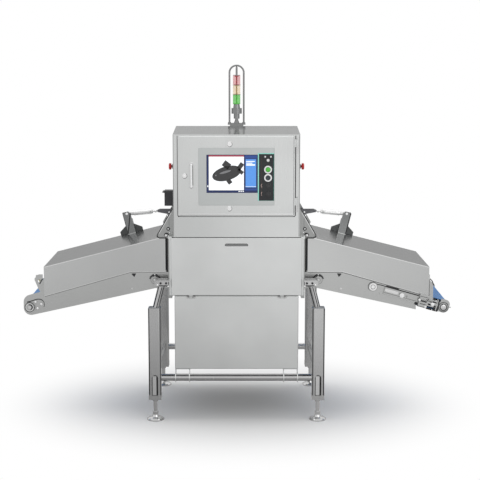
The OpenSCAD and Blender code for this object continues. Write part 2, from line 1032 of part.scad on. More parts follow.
// Quarter-turn latch with its cam on the inside, drawn along the given angle
module latch(p, a) {
    cam_y = -front_y + sheet + latch_cam_t;
    color("gainsboro")
    translate([p[0], 0, upper_z + p[1]])
        difference() {
            union() {
                rod_y([0, 0], latch_r, -door_face_y - latch_head, -door_face_y - seat_gap);
                rod_y([0, 0], latch_pin_r, -door_face_y - latch_head, cam_y + latch_cam_t);
                rotate([0, a, 0])
                    box_between([-latch_cam_w / 2, cam_y, -latch_cam_w / 2],
                        [latch_cam_l, cam_y + latch_cam_t, latch_cam_w / 2]);
            }
            rotate([0, a, 0])
                box_between([-latch_r / 2, -door_face_y - latch_head - cut, -latch_slot_w / 2],
                    [latch_r / 2, latch_slot_d - door_face_y - latch_head, latch_slot_w / 2]);
        }
}

module latch_top() {
    latch(latch_top_pos, 0);
}

module latch_side() {
    latch(latch_side_pos, 90);
}

module latch_bottom() {
    latch(latch_bottom_pos, 0);
}

// Operator panel on the door

module display_unit() {
    half_w = bezel_w / 2;
    color("darkgray")
    difference() {
        union() {
            translate([0, 0, bezel_z + bezel_h / 2])
                slab_y(-bezel_face_y, bezel_t) polygon(round_rect(bezel_w, bezel_h, flat_r));
            box_between([unit_side - half_w, bezel_t - bezel_face_y - cut, bezel_z + unit_side],
                [half_w - unit_side, unit_depth - bezel_face_y, bezel_z + bezel_h - unit_side]);
        }
        translate([screen_x, 0, upper_z + screen_low + screen_h / 2])
            slab_y(-bezel_face_y - cut, screen_t + screen_in + cut)
                polygon(round_rect(screen_w + 2 * seat_gap, screen_h + 2 * seat_gap, flat_r / 3));
        for (z = [start_low, halt_low])
            rod_y([button_x, upper_z + z], button_r + seat_gap, -bezel_face_y - cut,
                button_deep + button_travel + seat_gap - bezel_face_y);
    }
}

module display_screen() {
    color("midnightblue")
    translate([screen_x, 0, upper_z + screen_low + screen_h / 2])
        slab_y(screen_in - bezel_face_y, screen_t) polygon(round_rect(screen_w, screen_h, flat_r / 3));
}

module button_strip() {
    color("darkslategray")
    difference() {
        union() {
            translate([strip_x, 0, upper_z + strip_low + strip_h / 2]) {
                slab_y(-strip_face_y, strip_t) polygon(round_rect(strip_w, strip_h, flat_r / 2));
                difference() {
                    slab_y(-strip_face_y - strip_rim_t, strip_rim_t)
                        polygon(round_rect(strip_w, strip_h, flat_r / 2));
                    slab_y(-strip_face_y - strip_rim_t - cut, strip_rim_t + cut)
                        polygon(round_rect(strip_w - 2 * strip_rim, strip_h - 2 * strip_rim,
                            flat_r / 2));
                }
            }
            for (z = [start_low, halt_low])
                rod_y([button_x, upper_z + z], button_r + ring_w, -strip_face_y - ring_h,
                    -strip_face_y);
            for (z = [cap_low_a, cap_low_b])
                rod_y([cap_x, upper_z + z], cap_r, -strip_face_y - cap_h, -strip_face_y);
            for (x = [-dot_side, dot_side])
                rod_y([button_x + x, upper_z + dot_low], dot_r, -strip_face_y - dot_h,
                    -strip_face_y);
            rod_y([button_x, upper_z + dot_big_low], dot_big_r, -strip_face_y - dot_h,
                -strip_face_y);
        }
        for (z = [start_low, halt_low])
            rod_y([button_x, upper_z + z], button_r + seat_gap, -strip_face_y - ring_h - cut,
                cut - bezel_face_y);
    }
}

module push_button(z) {
    top = strip_face_y + ring_h + button_out;
    translate([button_x, -top, upper_z + z])
        rotate([-90, 0, 0])
            rotate_extrude()
                polygon([[0, 0], [button_r - button_out, 0], [button_r, button_out],
                    [button_r, top - bezel_face_y + button_deep],
                    [0, top - bezel_face_y + button_deep]]);
}

module start_button() {
    color("limegreen") push_button(start_low);
}

module halt_button() {
    color("slategray") push_button(halt_low);
}

// Emergency stops

module stop_collars() {
    color("dimgray")
    mirror_x()
        difference() {
            rod_x([-stop_y, upper_z + stop_low], collar_r, upper_w / 2, upper_w / 2 + collar_h);
            rod_x([-stop_y, upper_z + stop_low], stop_stem_r + run_gap, upper_w / 2 - cut,
                upper_w / 2 + collar_h + cut);
        }
}

module stop_head_right() {
    base = collar_h + stop_travel + stop_gap;
    color("firebrick")
    translate([upper_w / 2, -stop_y, upper_z + stop_low])
        rotate([0, 90, 0])
            rotate_extrude()
                polygon(concat([[0, -stop_stem_in], [stop_stem_r, -stop_stem_in], [stop_stem_r, base]],
                    [[mushroom_r - stop_gap, base]],
                    arc([mushroom_r - stop_head_h / 2, base + stop_head_h / 2],
                        stop_head_h / 2, -60, 90, 8),
                    [[0, base + stop_head_h]]));
}

module stop_head_left() {
    mirror([1, 0, 0]) stop_head_right();
}

// Service port on the left side of the cabinet

module port_box() {
    x1 = -upper_w / 2;
    x0 = x1 - port_d;
    low = upper_z + port_low;
    color("black")
    difference() {
        box_between([x0, -port_y - port_w / 2, low], [x1, port_w / 2 - port_y, low + port_h]);
        box_between([x0 - cut, port_wall - port_y - port_w / 2, low + port_wall],
            [x1 - port_wall, port_w / 2 - port_wall - port_y, low + port_h - 3 * port_wall]);
        rod_y([x0 - flap_t / 2, low + port_h - flap_barrel_r], flap_barrel_r + seat_gap,
            -port_y - port_w, port_w - port_y);
    }
}

module port_flap() {
    x0 = -upper_w / 2 - port_d;
    low = upper_z + port_low;
    pin_x = x0 - flap_t / 2;
    pin_z = low + port_h - flap_barrel_r;
    color("black")
    union() {
        box_between([x0 - flap_t, -port_y - port_w / 2, low],
            [x0 - seat_gap, port_w / 2 - port_y, pin_z]);
        rod_y([pin_x, pin_z], flap_barrel_r, -port_y - port_w / 2, port_w / 2 - port_y);
        slab_y(-port_y - port_w / 2, port_w)
            polygon([[pin_x, pin_z + flap_barrel_r / 2], [x0 - flap_t - flap_nose, pin_z],
                [x0 - flap_t - flap_nose, pin_z - flap_t], [pin_x, pin_z - flap_barrel_r]]);
    }
}

// Hinges and brackets of the hoods on the cabinet sides

module cheek_outline() {
    wall = upper_w / 2;
    polygon([[wall, hinge_z + cheek_rise], [wall + cheek_fold / 2, hinge_z + cheek_rise],
        [hinge_x + cheek_past, hinge_z], [hinge_x + cheek_past, hinge_z - cheek_drop / 2],
        [hinge_x + cheek_past - cheek_fold, hinge_z - cheek_drop],
        [collar_x, hinge_z - cheek_drop], [collar_x, upper_z], [wall, upper_z]]);
}

module hinge_cheeks() {
    wall = upper_w / 2;
    y = hood_w / 2 + cheek_gap;
    fold = [hinge_x + cheek_past - wall - cheek_fold / 2, cheek_rise];
    color("silver")
    mirror_x() mirror_y()
        difference() {
            union() {
                slab_y(y, cheek_t) cheek_outline();
                translate([wall + cheek_fold / 2, y, hinge_z + cheek_rise])
                    rotate([0, atan2(fold[1], fold[0]), 0])
                        translate([0, 0, -cheek_t])
                            cube([norm(fold), cheek_fold, cheek_t]);
            }
            rod_y([hinge_x, hinge_z], hinge_rod_r + run_gap, y - cut, y + cheek_t + cut);
        }
}

module hinge_rods() {
    color("gainsboro")
    mirror_x() {
        union() {
            rod_y([hinge_x, hinge_z], hinge_rod_r, -hinge_rod_l / 2, hinge_rod_l / 2);
            for (y = [-hinge_rod_l / 2, hinge_rod_l / 2])
                translate([hinge_x, y, hinge_z]) sphere(r = hinge_ball_r);
        }
    }
}

module strut_brackets() {
    wall = upper_w / 2;
    pin = [hinge_x + bracket_x, bracket_z];
    color("dimgray")
    mirror_x()
        union() {
            for (y = [strut_y - strut_eye_w / 2 - seat_gap - bracket_t,
                strut_y + strut_eye_w / 2 + seat_gap])
                slab_y(y, bracket_t)
                    polygon(concat([[wall, bracket_z + bracket_head],
                        [wall, bracket_z - bracket_foot]],
                        arc(pin, strut_eye_r, -75, 90, 6),
                        [[pin[0] - strut_eye_r, bracket_z + bracket_head]]));
            rod_y(pin, strut_pin_r, strut_y - strut_eye_w / 2 - seat_gap - bracket_t,
                strut_y + strut_eye_w / 2 + seat_gap + bracket_t);
            box_between([wall, strut_y - strut_eye_w / 2 - bracket_t, bracket_z - bracket_foot],
                [wall + bracket_t, strut_y + strut_eye_w / 2 + bracket_t,
                bracket_z + bracket_head]);
        }
}

// Hoods

// Point of the post, u across it and v up from the hood roof
function post_point(u, v) = [
    post_x + u * cos(hood_a) + v * sin(hood_a),
    hood_end_z + (hood_end_x - post_x) * tan(hood_a) - u * sin(hood_a) + v * cos(hood_a)];

strut_pin = post_point(post_pin_off, post_pin);
strut_dir = strut_pin - [hinge_x + bracket_x, bracket_z];
strut_a = atan2(strut_dir[1], strut_dir[0]);

module hood_post() {
    half = post_w / 2;
    wing_in = half - post_t / 2;
    slab_y(post_y, post_t)
        polygon([post_point(-half, -hood_t / 2), post_point(half, -hood_t / 2),
            post_point(half, post_h - post_t), post_point(half - post_t, post_h),
            post_point(-half / 2, post_h), post_point(-half, post_h - half / 2)]);
    slab_y(post_y, post_d)
        polygon([post_point(half - post_t, -hood_t / 2), post_point(half, -hood_t / 2),
            post_point(half, post_h - post_t), post_point(half - post_t, post_h)]);
    slab_y(post_y, post_d)
        polygon([post_point(-half, -hood_t / 2), post_point(post_t - half, -hood_t / 2),
            post_point(post_t - half, post_pin - post_cut),
            post_point(-half, post_pin - post_cut)]);
    rear = strut_y + strut_eye_w / 2 + 2 * post_t;
    slab_y(rear, post_t)
        polygon([post_point(post_pin_off - strut_eye_r, post_pin - strut_eye_r),
            post_point(half, post_pin - post_w / 2), post_point(half, post_h - post_t),
            post_point(post_pin_off - strut_eye_r, post_pin + strut_eye_r)]);
    rod_y(strut_pin, strut_pin_r, post_y, rear + post_t);
    for (s = [-1, 1])
        slab_y(wing_y, wing_t)
            polygon([post_point(s * wing_in, -hood_t / 2), post_point(s * wing_w / 2, -hood_t / 2),
                post_point(s * wing_w / 2, wing_out_h), post_point(s * wing_in, wing_in_h)]);
}

module hood_right() {
    inner = hood_w / 2 - hood_t;
    drop = hood_t / cos(hood_a);
    color("silver")
    difference() {
        union() {
            difference() {
                slab_y(-hood_w / 2, hood_w)
                    polygon([[hood_in_x, seam_z], [knuckle_x, seam_z],
                        [hood_end_x, seam_line(hood_end_x)], [hood_end_x, hood_end_z],
                        [hood_in_x, hood_top_z]]);
                slab_y(-inner, 2 * inner)
                    polygon([[hood_in_x - cut, tunnel_z], [hood_end_x + cut, roller_z],
                        [hood_end_x + cut, hood_end_z - drop - cut * tan(hood_a)],
                        [hood_in_x - cut, hood_top_z - drop + cut * tan(hood_a)]]);
            }
            for (y = [-knuckle_y, knuckle_y])
                translate([0, y - knuckle_l / 2, 0]) {
                    rod_y([hinge_x, hinge_z], knuckle_r, 0, knuckle_l);
                    slab_y(0, knuckle_l)
                        polygon([[hinge_x, hinge_z], [hinge_x, hinge_z - knuckle_r / 2],
                            [hood_in_x, hood_top_z - drop / 2],
                            [hood_in_x + leaf_in, hood_top_z - leaf_in * tan(hood_a) - drop / 2],
                            [hood_in_x + leaf_in, hood_top_z - leaf_in * tan(hood_a) + drop]]);
                }
            hood_post();
        }
        for (y = [-knuckle_y, knuckle_y])
            rod_y([hinge_x, hinge_z], hinge_rod_r + run_gap, y - knuckle_l / 2 - cut,
                y + knuckle_l / 2 + cut);
    }
}

module hood_left() {
    mirror([1, 0, 0]) hood_right();
}

module strut_cylinder_right() {
    color("gainsboro")
    translate([strut_pin[0], strut_y, strut_pin[1]])
        rotate([0, 180 - strut_a, 0])
            difference() {
                union() {
                    translate([strut_start, 0, 0])
                        rotate([0, 90, 0])
                            cylinder(r = strut_r, h = strut_l - strut_start);
                    translate([0, strut_eye_w / 2, 0])
                        rotate([90, 0, 0])
                            cylinder(r = strut_eye_r, h = strut_eye_w);
                    translate([0, -strut_eye_w / 2, -strut_eye_r / 2])
                        cube([strut_start + cut, strut_eye_w, strut_eye_r]);
                }
                translate([strut_start + strut_bore_gap, 0, 0])
                    rotate([0, 90, 0])
                        cylinder(r = strut_r - strut_bore_gap, h = strut_l);
                translate([0, strut_eye_w, 0])
                    rotate([90, 0, 0])
                        cylinder(r = strut_pin_r + run_gap, h = 2 * strut_eye_w);
            }
}

module strut_cylinder_left() {
    mirror([1, 0, 0]) strut_cylinder_right();
}

module strut_rod_right() {
    color("white")
    translate([hinge_x + bracket_x, strut_y, bracket_z])
        rotate([0, -strut_a, 0])
            difference() {
                union() {
                    translate([strut_rod_in, 0, 0])
                        rotate([0, 90, 0])
                            cylinder(r = strut_rod_r, h = strut_rod_l - strut_rod_in);
                    translate([0, -strut_eye_w / 2, -strut_eye_r / 2])
                        cube([strut_rod_in + cut, strut_eye_w, strut_eye_r]);
                    translate([0, strut_eye_w / 2, 0])
                        rotate([90, 0, 0])
                            cylinder(r = strut_eye_r, h = strut_eye_w);
                }
                translate([0, strut_eye_w, 0])
                    rotate([90, 0, 0])
                        cylinder(r = strut_pin_r + run_gap, h = 2 * strut_eye_w);
            }
}

module strut_rod_left() {
    mirror([1, 0, 0]) strut_rod_right();
}

// Conveyor

// Top edge of a side plate from the right end guard to the middle
function plate_top() =
    let (inner = hood_end_x - guard_bevel / 2)
    [[guard_x, guard_z - guard_bevel], [guard_x - guard_bevel, guard_z], [inner, guard_z],
        [inner, belt_line(inner, plate_above)], [knuckle_x, belt_z + plate_crown]];

module side_outline() {
    x = plate_end_in - roller_x;
    z = roller_z + plate_end_up;
    polygon(concat(
        plate_top(),
        [for (i = [4 : -1 : 0]) [-plate_top()[i][0], plate_top()[i][1]]],
        [[-guard_x, z + plate_end_r / cos(slope_a) - (x + guard_x) * slope_t]],
        arc([x, z], plate_end_r, 90 + slope_a, 180, 8),
        arc([x, roller_z - plate_end_down], plate_end_r, 180, 270 + plate_low_slope, 8),
        [[-plate_low_x, plate_edge(0)], [plate_low_x, plate_edge(0)],
            [plate_cut_x, plate_edge(plate_cut_x)],
            [plate_cut_x, roller_z + plate_cut_rise + guard_out],
            [guard_x, roller_z + plate_cut_rise]]));
}

module side_plate(hub_side) {
    difference() {
        union() {
            difference() {
                slab_y(-side_y, side_t) side_outline();
                mirror_x() {
                    slab_y(-side_y - cut, side_t + 2 * cut)
                        polygon([[notch_x - notch_w / 2, belt_z - notch_below],
                            [notch_x, belt_z - notch_below - notch_h],
                            [notch_x + notch_w / 2, belt_z - notch_below]]);
                    slab_y(-side_y - cut, side_t + 2 * cut)
                        polygon(concat(
                            arc([hub_x, belt_z - hub_below], hub_gap_r, 15, 165, 12),
                            arc([hub_x, belt_z - hub_below], hub_gap_in, 165, 15, 12)));
                    for (s = [-1, 1])
                        rod_y([hub_x + s * hub_dot_in, belt_z - hub_below + hub_dot_up], hub_dot_r,
                            -side_y - cut, side_t + cut - side_y);
                }
                slab_y(-side_y - cut, side_t - pocket_wall_t + cut)
                    polygon(concat(
                        arc([pocket_dx - roller_x, roller_z + pocket_dz], pocket_r, -100, 105, 10),
                        [[pocket_tip[0] - roller_x, roller_z + pocket_tip[1]]],
                        arc([-roller_x, roller_z], drum_hub_r + seat_gap, 125, -40, 8)));
            }
            mirror_x() {
                rod_y([hub_x, belt_z - hub_below], hub_r, -side_y - hub_h, -side_y + cut);
                rod_y([hub_x, belt_z - hub_below], hub_pin_r, -side_y - hub_h - hub_pin_h, -side_y);
            }
            rod_y([-roller_x, roller_z], drum_hub_r, -side_y - drum_hub_h, -side_y + cut);
            for (p = pocket_bolts)
                rod_y([pocket_dx - roller_x + p[0], roller_z + pocket_dz + p[1]], pocket_bolt_r,
                    -side_y - pocket_bolt_h, -side_y + side_t - pocket_wall_t + cut);
        }
        difference() {
            rod_y([-roller_x, roller_z], drum_ring_r, -side_y - drum_hub_h - cut,
                drum_ring_d - side_y - drum_hub_h);
            rod_y([-roller_x, roller_z], shaft_r + drum_ring_d, -side_y - drum_hub_h - 2 * cut,
                drum_ring_d + cut - side_y - drum_hub_h);
        }
        rod_y([-roller_x, roller_z], shaft_r + run_gap, -side_y - drum_hub_h - cut,
            side_t + cut - side_y);
        mirror_x()
            rod_y(return_place(), return_pin_r + run_gap, -side_y - cut, side_t + cut - side_y);
    }
}

module side_plate_front() {
    color("silver") side_plate();
}

module side_plate_rear() {
    color("silver") mirror([0, 1, 0]) side_plate();
}

// Centre line of a strand's inner face, from the left bend to the right end
module belt_loop(r) {
    up = [sin(slope_a), cos(slope_a)];
    d = belt_out_r - r;
    polygon(concat(
        [[-knuckle_x + d * tan(slope_a / 2), belt_z - d]],
        [[knuckle_x - d * tan(slope_a / 2), belt_z - d]],
        arc([roller_x, roller_z], r, 90 - slope_a, -90 - slope_a, 24),
        [[knuckle_x + d * tan(slope_a / 2), belt_z - belt_drop + d]],
        [[-knuckle_x - d * tan(slope_a / 2), belt_z - belt_drop + d]],
        arc([-roller_x, roller_z], r, 270 + slope_a, 90 + slope_a, 24)));
}

module conveyor_belt() {
    color("dodgerblue")
    slab_y(-belt_w / 2, belt_w)
        difference() {
            belt_loop(belt_out_r);
            belt_loop(belt_in_r);
        }
}

function return_place() =
    let (d = (return_r + belt_gap) / cos(slope_a / 2))
    [knuckle_x - d * sin(slope_a / 2), belt_z - belt_drop - d * cos(slope_a / 2)];

// Roller with a crowned shell and a stepped shaft
module roller(p, r, pin, reach) {
    color("gainsboro")
    union() {
        rod_y(p, r, -roller_l / 2, roller_l / 2);
        rod_y(p, pin, -reach, reach);
    }
}

module drive_drum() {
    roller([-roller_x, roller_z], roller_r, shaft_r, side_y + drum_hub_h);
}

module tail_roller() {
    roller([roller_x, roller_z], roller_r, shaft_r, side_y + arm_gap + arm_t);
}

module return_roller_right() {
    roller(return_place(), return_r, return_pin_r, side_y);
}

module return_roller_left() {
    mirror([1, 0, 0]) return_roller_right();
}

module slider_bed() {
    lift = -belt_t - belt_gap;
    end_x = roller_x - bed_end;
    color("silver")
    union() {
        difference() {
            slab_y(-belt_w / 2, belt_w)
                polygon([[-end_x, belt_line(end_x, lift)],
                    [-knuckle_x, belt_z + lift], [knuckle_x, belt_z + lift],
                    [end_x, belt_line(end_x, lift)], [end_x, belt_line(end_x, lift - bed_t)],
                    [knuckle_x, belt_z + lift - bed_t], [-knuckle_x, belt_z + lift - bed_t],
                    [-end_x, belt_line(end_x, lift - bed_t)]]);
            box_between([-slit_x, -slit_y, belt_z + lift - bed_t - cut],
                [slit_x, slit_y, belt_z + lift + cut]);
        }
        mirror_x()
            for (x = bar_xs)
                translate([x, -inner_y, belt_line(x, lift - bed_t / 2)])
                    rotate([0, x > knuckle_x ? slope_a : 0, 0])
                        translate([-bar_w / 2, 0, -bar_w])
                            cube([bar_w, 2 * inner_y, bar_w]);
    }
}

// Belt take-up on the right end; u runs down the slope, v across it
function take_up_point(u, v) = [roller_x + u * cos(slope_a) + v * sin(slope_a),
    roller_z - u * sin(slope_a) + v * cos(slope_a)];

module take_up_bar(u0, u1, v0, v1, y0, t) {
    slab_y(y0, t)
        polygon([take_up_point(u0, v0), take_up_point(u1, v0), take_up_point(u1, v1),
            take_up_point(u0, v1)]);
}

module take_up_guides() {
    low = arm_off - arm_w / 2;
    high = arm_off + arm_w / 2;
    y_out = -side_y - arm_gap - arm_t - arm_gap;
    clamp = take_up_point(-clamp_at, arm_off);
    deep = housing_t + arm_t;
    color("gainsboro")
    mirror_y() {
        difference() {
            rod_y([boss_x, belt_z - boss_drop], boss_r, -side_y - boss_h, -side_y);
            rod_y([boss_x, belt_z - boss_drop], boss_hole_r, -side_y - boss_h - cut,
                pocket_bolt_h - side_y - boss_h);
        }
        take_up_bar(-guide_at, guide_l - guide_at, low - guide_w - seat_gap, low - seat_gap,
            y_out, -y_out - side_y);
        difference() {
            union() {
                take_up_bar(-housing_at, housing_l - housing_at, -housing_low, housing_high,
                    -side_y - deep, deep);
                take_up_bar(-housing_at, housing_l - housing_at, housing_high - housing_lip_in,
                    housing_lip, -side_y - deep, side_y + deep - hood_w / 2 - housing_lip_gap);
            }
            take_up_bar(-housing_at - cut, housing_l - housing_at + cut, low - seat_gap,
                high + seat_gap, -side_y - 2 * arm_gap - arm_t, arm_t + 2 * arm_gap);
            take_up_bar(housing_slot_in - housing_at, housing_l - housing_at + cut,
                housing_slot_low, housing_slot_high, -side_y - deep - cut, deep);
            translate([take_up_point(-housing_at - cut, arm_off)[0],
                -side_y - 2 * arm_gap - arm_t - screw_out,
                take_up_point(-housing_at - cut, arm_off)[1]])
                rotate([0, 90 + slope_a, 0])
                    cylinder(r = screw_r + seat_gap, h = housing_l + 2 * cut);
        }
        rod_y(clamp, clamp_pin_r, -side_y - 2 * arm_gap - arm_t, -side_y);
        rod_y(clamp, clamp_r, -side_y - 2 * arm_gap - arm_t - clamp_h,
            -side_y - 2 * arm_gap - arm_t);
    }
}

module take_up_arms() {
    low = arm_off - arm_w / 2;
    high = arm_off + arm_w / 2;
    y0 = -side_y - arm_gap - arm_t;
    screw_y = -side_y - 2 * arm_gap - arm_t - screw_out;
    slot_v = clamp_pin_r + seat_gap;
    color("gainsboro")
    mirror_y()
        difference() {
            union() {
                take_up_bar(-arm_l, 0, low, high, y0, arm_t);
                slab_y(y0, arm_t)
                    polygon([for (p = concat([[-arm_end_left, -arm_end]],
                        arc([0, 0], arm_end, -90, 0, 8),
                        arc([arm_end - arm_end_corner, arm_end_high - arm_end_corner],
                            arm_end_corner, 0, 90, 6),
                        [[-arm_end_left, arm_end_high]])) take_up_point(p[0], p[1])]);
                take_up_bar(-fork_at, fork_t - fork_at, low - fork_over, high + fork_over,
                    screw_y - screw_nut_r, y0 + arm_t - screw_y + screw_nut_r);
                translate([take_up_point(-screw_from, arm_off)[0], screw_y,
                    take_up_point(-screw_from, arm_off)[1]])
                    rotate([0, 90 + slope_a, 0]) {
                        cylinder(r = screw_r, h = screw_from - screw_to);
                        for (h = [screw_from - fork_at - screw_nut_h,
                            screw_from - fork_at - 2 * screw_nut_h - screw_nut_gap])
                            translate([0, 0, h])
                                cylinder(r = screw_nut_r, h = screw_nut_h, $fn = 6);
                    }
                rod_x([y0 + arm_t / 2, roller_z], tip_r, roller_x + arm_end - 2 * tip_r,
                    roller_x + arm_end + arm_end_right);
            }
            take_up_bar(arm_rim + housing_l - housing_at, -fork_at - arm_rim, low + arm_rim,
                high - arm_rim, y0 - cut, arm_t + 2 * cut);
            take_up_bar(-clamp_at - slot_v, take_up_travel + slot_v - clamp_at,
                arm_off - slot_v, arm_off + slot_v, y0 - cut, arm_t + 2 * cut);
            rod_y([roller_x, roller_z], shaft_r + run_gap, y0 - cut, y0 + arm_t + cut);
        }
}

// Belt sensor on the front left end guard

module belt_sensor() {
    x1 = sensor_in - guard_x;
    y = -side_y - sensor_t;
    z = guard_z - sensor_drop;
    color("gainsboro")
    union() {
        slab_y(y, sensor_t)
            difference() {
                polygon([[x1, z - sensor_h / 2], [x1, z + sensor_h / 2],
                    [x1 - sensor_w + guard_bevel, z + sensor_h / 2],
                    [x1 - sensor_w, z + sensor_h / 2 - guard_bevel],
                    [x1 - sensor_w, z], [x1 - sensor_stem, z - sensor_h],
                    [x1 + sensor_stem / 2, z - sensor_h], [x1 + sensor_stem / 2, z - sensor_h / 2]]);
                polygon([[x1 - sensor_t, z + sensor_t],
                    [x1 - sensor_t - sensor_window, z + sensor_t],
                    [x1 - sensor_t - sensor_window / 2, z + sensor_t - sensor_window]]);
            }
        translate([x1 + sensor_gap - sensor_w, y + sensor_t, z - sensor_t])
            cube(sensor_body);
        rod_x([y + sensor_t + sensor_body[1] / 2, z + sensor_body[2] / 3], sensor_lens_r,
            x1 + sensor_gap - sensor_w - sensor_lens_h, x1 + 2 * sensor_gap - sensor_w);
    }
}

// X-ray generator, detector and controls

module xray_generator() {
    z = upper_z + tank_lift;
    color("lightgray")
    union() {
        box_between([-tank_w / 2, -tank_d / 2, z], [tank_w / 2, tank_d / 2, z + tank_h]);
        box_between([-tank_w / 2 - tank_lid_over, -tank_d / 2 - tank_lid_over, z + tank_h],
            [tank_w / 2 + tank_lid_over, tank_d / 2 + tank_lid_over, z + tank_h + tank_lid_h]);
        for (i = [0 : fins - 1])
            translate([-tank_w / 2 + (i + 0.5) * tank_w / fins - fin_t / 2,
                tank_d / 2 - cut, z + tank_lid_h])
                cube([fin_t, fin_d, tank_h - 2 * tank_lid_h]);
        box_between([-beam_w / 2, -beam_d / 2, upper_z + sheet],
            [beam_w / 2, beam_d / 2, z]);
    }
}

module detector() {
    low = belt_z - belt_drop + belt_t + detector_low;
    color("dimgray")
    difference() {
        box_between([-detector_w / 2, -inner_y, low], [detector_w / 2, inner_y, low + detector_h]);
        box_between([-slit_x, -slit_y, low + detector_h - window_gap],
            [slit_x, slit_y, low + detector_h + cut]);
    }
}

module control_unit() {
    half = upper_w / 2 - panel_side;
    y1 = back_y - sheet;
    color("beige")
    union() {
        box_between([-half, y1 - panel_t, upper_z + panel_low],
            [half, y1, upper_z + panel_rise]);
        for (m = module_rows)
            box_between([m[0] - m[2] / 2, y1 - panel_t - m[3], upper_z + m[1]],
                [m[0] + m[2] / 2, y1 - panel_t + cut, upper_z + m[1] + module_h]);
    }
}

// Light tower

module tower_body() {
    z1 = tower_z + tower_stem_h;
    z2 = z1 + tower_low_h;
    z3 = z2 + tower_collar_h;
    top = lamps_z + 3 * lamp_h;
    tip_top = tower_z + hoop_h - 2 * hoop_r;
    color("silver")
    union() {
        translate([0, ridge_y, 0]) {
            slab_x(-tower_foot_w / 2, tower_foot_w)
                polygon([[-tower_plate_d / 2, ridge_z - roof_rise * tower_plate_d / 2
                    / (front_y + ridge_y)], [0, ridge_z],
                    [tower_plate_d / 2, ridge_z - roof_rise * tower_plate_d / 2
                    / (back_y - ridge_y)],
                    [tower_plate_d / 2, ridge_z + tower_plate_t / 2],
                    [-tower_plate_d / 2, ridge_z + tower_plate_t / 2]]);
            box_between([-tower_plate_w / 2, -tower_plate_d / 2, ridge_z + tower_plate_t / 2],
                [tower_plate_w / 2, tower_plate_d / 2, tower_z]);
            rotate_extrude()
                polygon([[0, tower_z - cut], [tower_stem_r + tower_bead, tower_z - cut],
                    [tower_stem_r, z1 - tower_bead], [tower_stem_r, z1],
                    [tower_low_r, z1], [tower_low_r, z2],
                    [tower_collar_r, z2], [tower_collar_r, z3], [tower_neck_r, z3],
                    [tower_low_r, lamps_z], [0, lamps_z]]);
            rotate_extrude()
                polygon([[0, top], [tower_cap_r, top], [tower_cap_r, top + tower_cap_h],
                    [tower_tip_r, top + tower_cap_h], [tower_tip_r, tip_top - tower_bead],
                    [tower_tip_r / 2, tip_top], [0, tip_top]]);
        }
    }
}

module lamp(i, low_r, high_r) {
    translate([0, ridge_y, lamps_z + i * lamp_h])
        cylinder(r1 = low_r, r2 = high_r, h = lamp_h);
}

module lamp_green() {
    color("limegreen") lamp(0, lamp_r, lamp_r);
}

module lamp_amber() {
    color("orange") lamp(1, lamp_r, lamp_r);
}

module lamp_red() {
    color("red") lamp(2, lamp_r, lamp_r);
}

module tower_guard() {
    half = hoop_w / 2 - hoop_r;
    straight = hoop_h - hoop_bend - hoop_r;
    color("gray")
    translate([0, ridge_y, tower_z])
        union() {
            for (s = [-1, 1]) {
                translate([s * half, 0, 0]) cylinder(r = hoop_r, h = straight);
                translate([s * half, 0, 0]) cylinder(r = hoop_foot_r, h = hoop_foot_h);
                translate([s * (half - hoop_bend), 0, straight])
                    rotate([90, 0, 0])
                        rotate([0, 0, s > 0 ? 0 : 90])
                            rotate_extrude(angle = 90)
                                translate([hoop_bend, 0]) circle(r = hoop_r);
            }
            translate([hoop_bend - half, 0, straight + hoop_bend])
                rotate([0, 90, 0])
                    cylinder(r = hoop_r, h = 2 * (half - hoop_bend));
        }
}

leg_frame_left();
leg_frame_right();
cross_tubes();
cabinet_saddles();
lower_cabinet();
lower_cover();
tunnel_housing();
hood_seals();
upper_cabinet();
hinge_cheeks();
hinge_rods();
strut_brackets();
side_plate_front();
side_plate_rear();
slider_bed();
conveyor_belt();
xray_generator();
detector();
control_unit();
tower_body();
lamp_green();
lamp_amber();
lamp_red();
tower_guard();
stop_collars();
port_box();
door_hinge_pins();
access_hinge_pins();
take_up_guides();
belt_sensor();
door_gasket();
cabinet_door();
display_unit();
display_screen();
button_strip();
door_handle();
latch_top();
latch_side();
latch_bottom();
start_button();
halt_button();
access_door();
stop_head_left();
stop_head_right();
port_flap();
hood_left();
hood_right();
strut_cylinder_left();
strut_cylinder_right();
strut_rod_left();
strut_rod_right();
drive_drum();
tail_roller();
return_roller_left();
return_roller_right();
take_up_arms();
foot_front_left();
foot_front_right();
foot_rear_left();
foot_rear_right();
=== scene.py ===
import math

import bmesh
import bpy
from mathutils import Matrix, Vector


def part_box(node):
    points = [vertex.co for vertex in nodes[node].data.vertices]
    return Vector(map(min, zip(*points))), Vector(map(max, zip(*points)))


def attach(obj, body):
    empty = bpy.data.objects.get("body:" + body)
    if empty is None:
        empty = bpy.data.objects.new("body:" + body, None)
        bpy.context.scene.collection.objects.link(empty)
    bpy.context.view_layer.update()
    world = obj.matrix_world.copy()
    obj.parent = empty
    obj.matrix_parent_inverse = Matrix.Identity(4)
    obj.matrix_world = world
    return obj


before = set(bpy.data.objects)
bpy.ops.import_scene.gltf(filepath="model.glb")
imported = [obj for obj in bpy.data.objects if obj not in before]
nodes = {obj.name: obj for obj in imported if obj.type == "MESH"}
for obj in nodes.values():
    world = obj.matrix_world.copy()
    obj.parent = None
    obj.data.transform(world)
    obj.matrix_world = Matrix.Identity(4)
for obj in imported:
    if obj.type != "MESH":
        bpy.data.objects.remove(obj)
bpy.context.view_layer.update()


# Places in mm, from the CAD nodes

X, Y, Z = 0, 1, 2
LOW, HIGH = 0, 1


def reach(name, end, axis):
    """Lowest or highest place of a node along an axis."""
    return round(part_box(name)[end][axis] * 1000, 1)


def middle(name, axis):
    low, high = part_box(name)
    return round((low[axis] + high[axis]) * 500, 1)


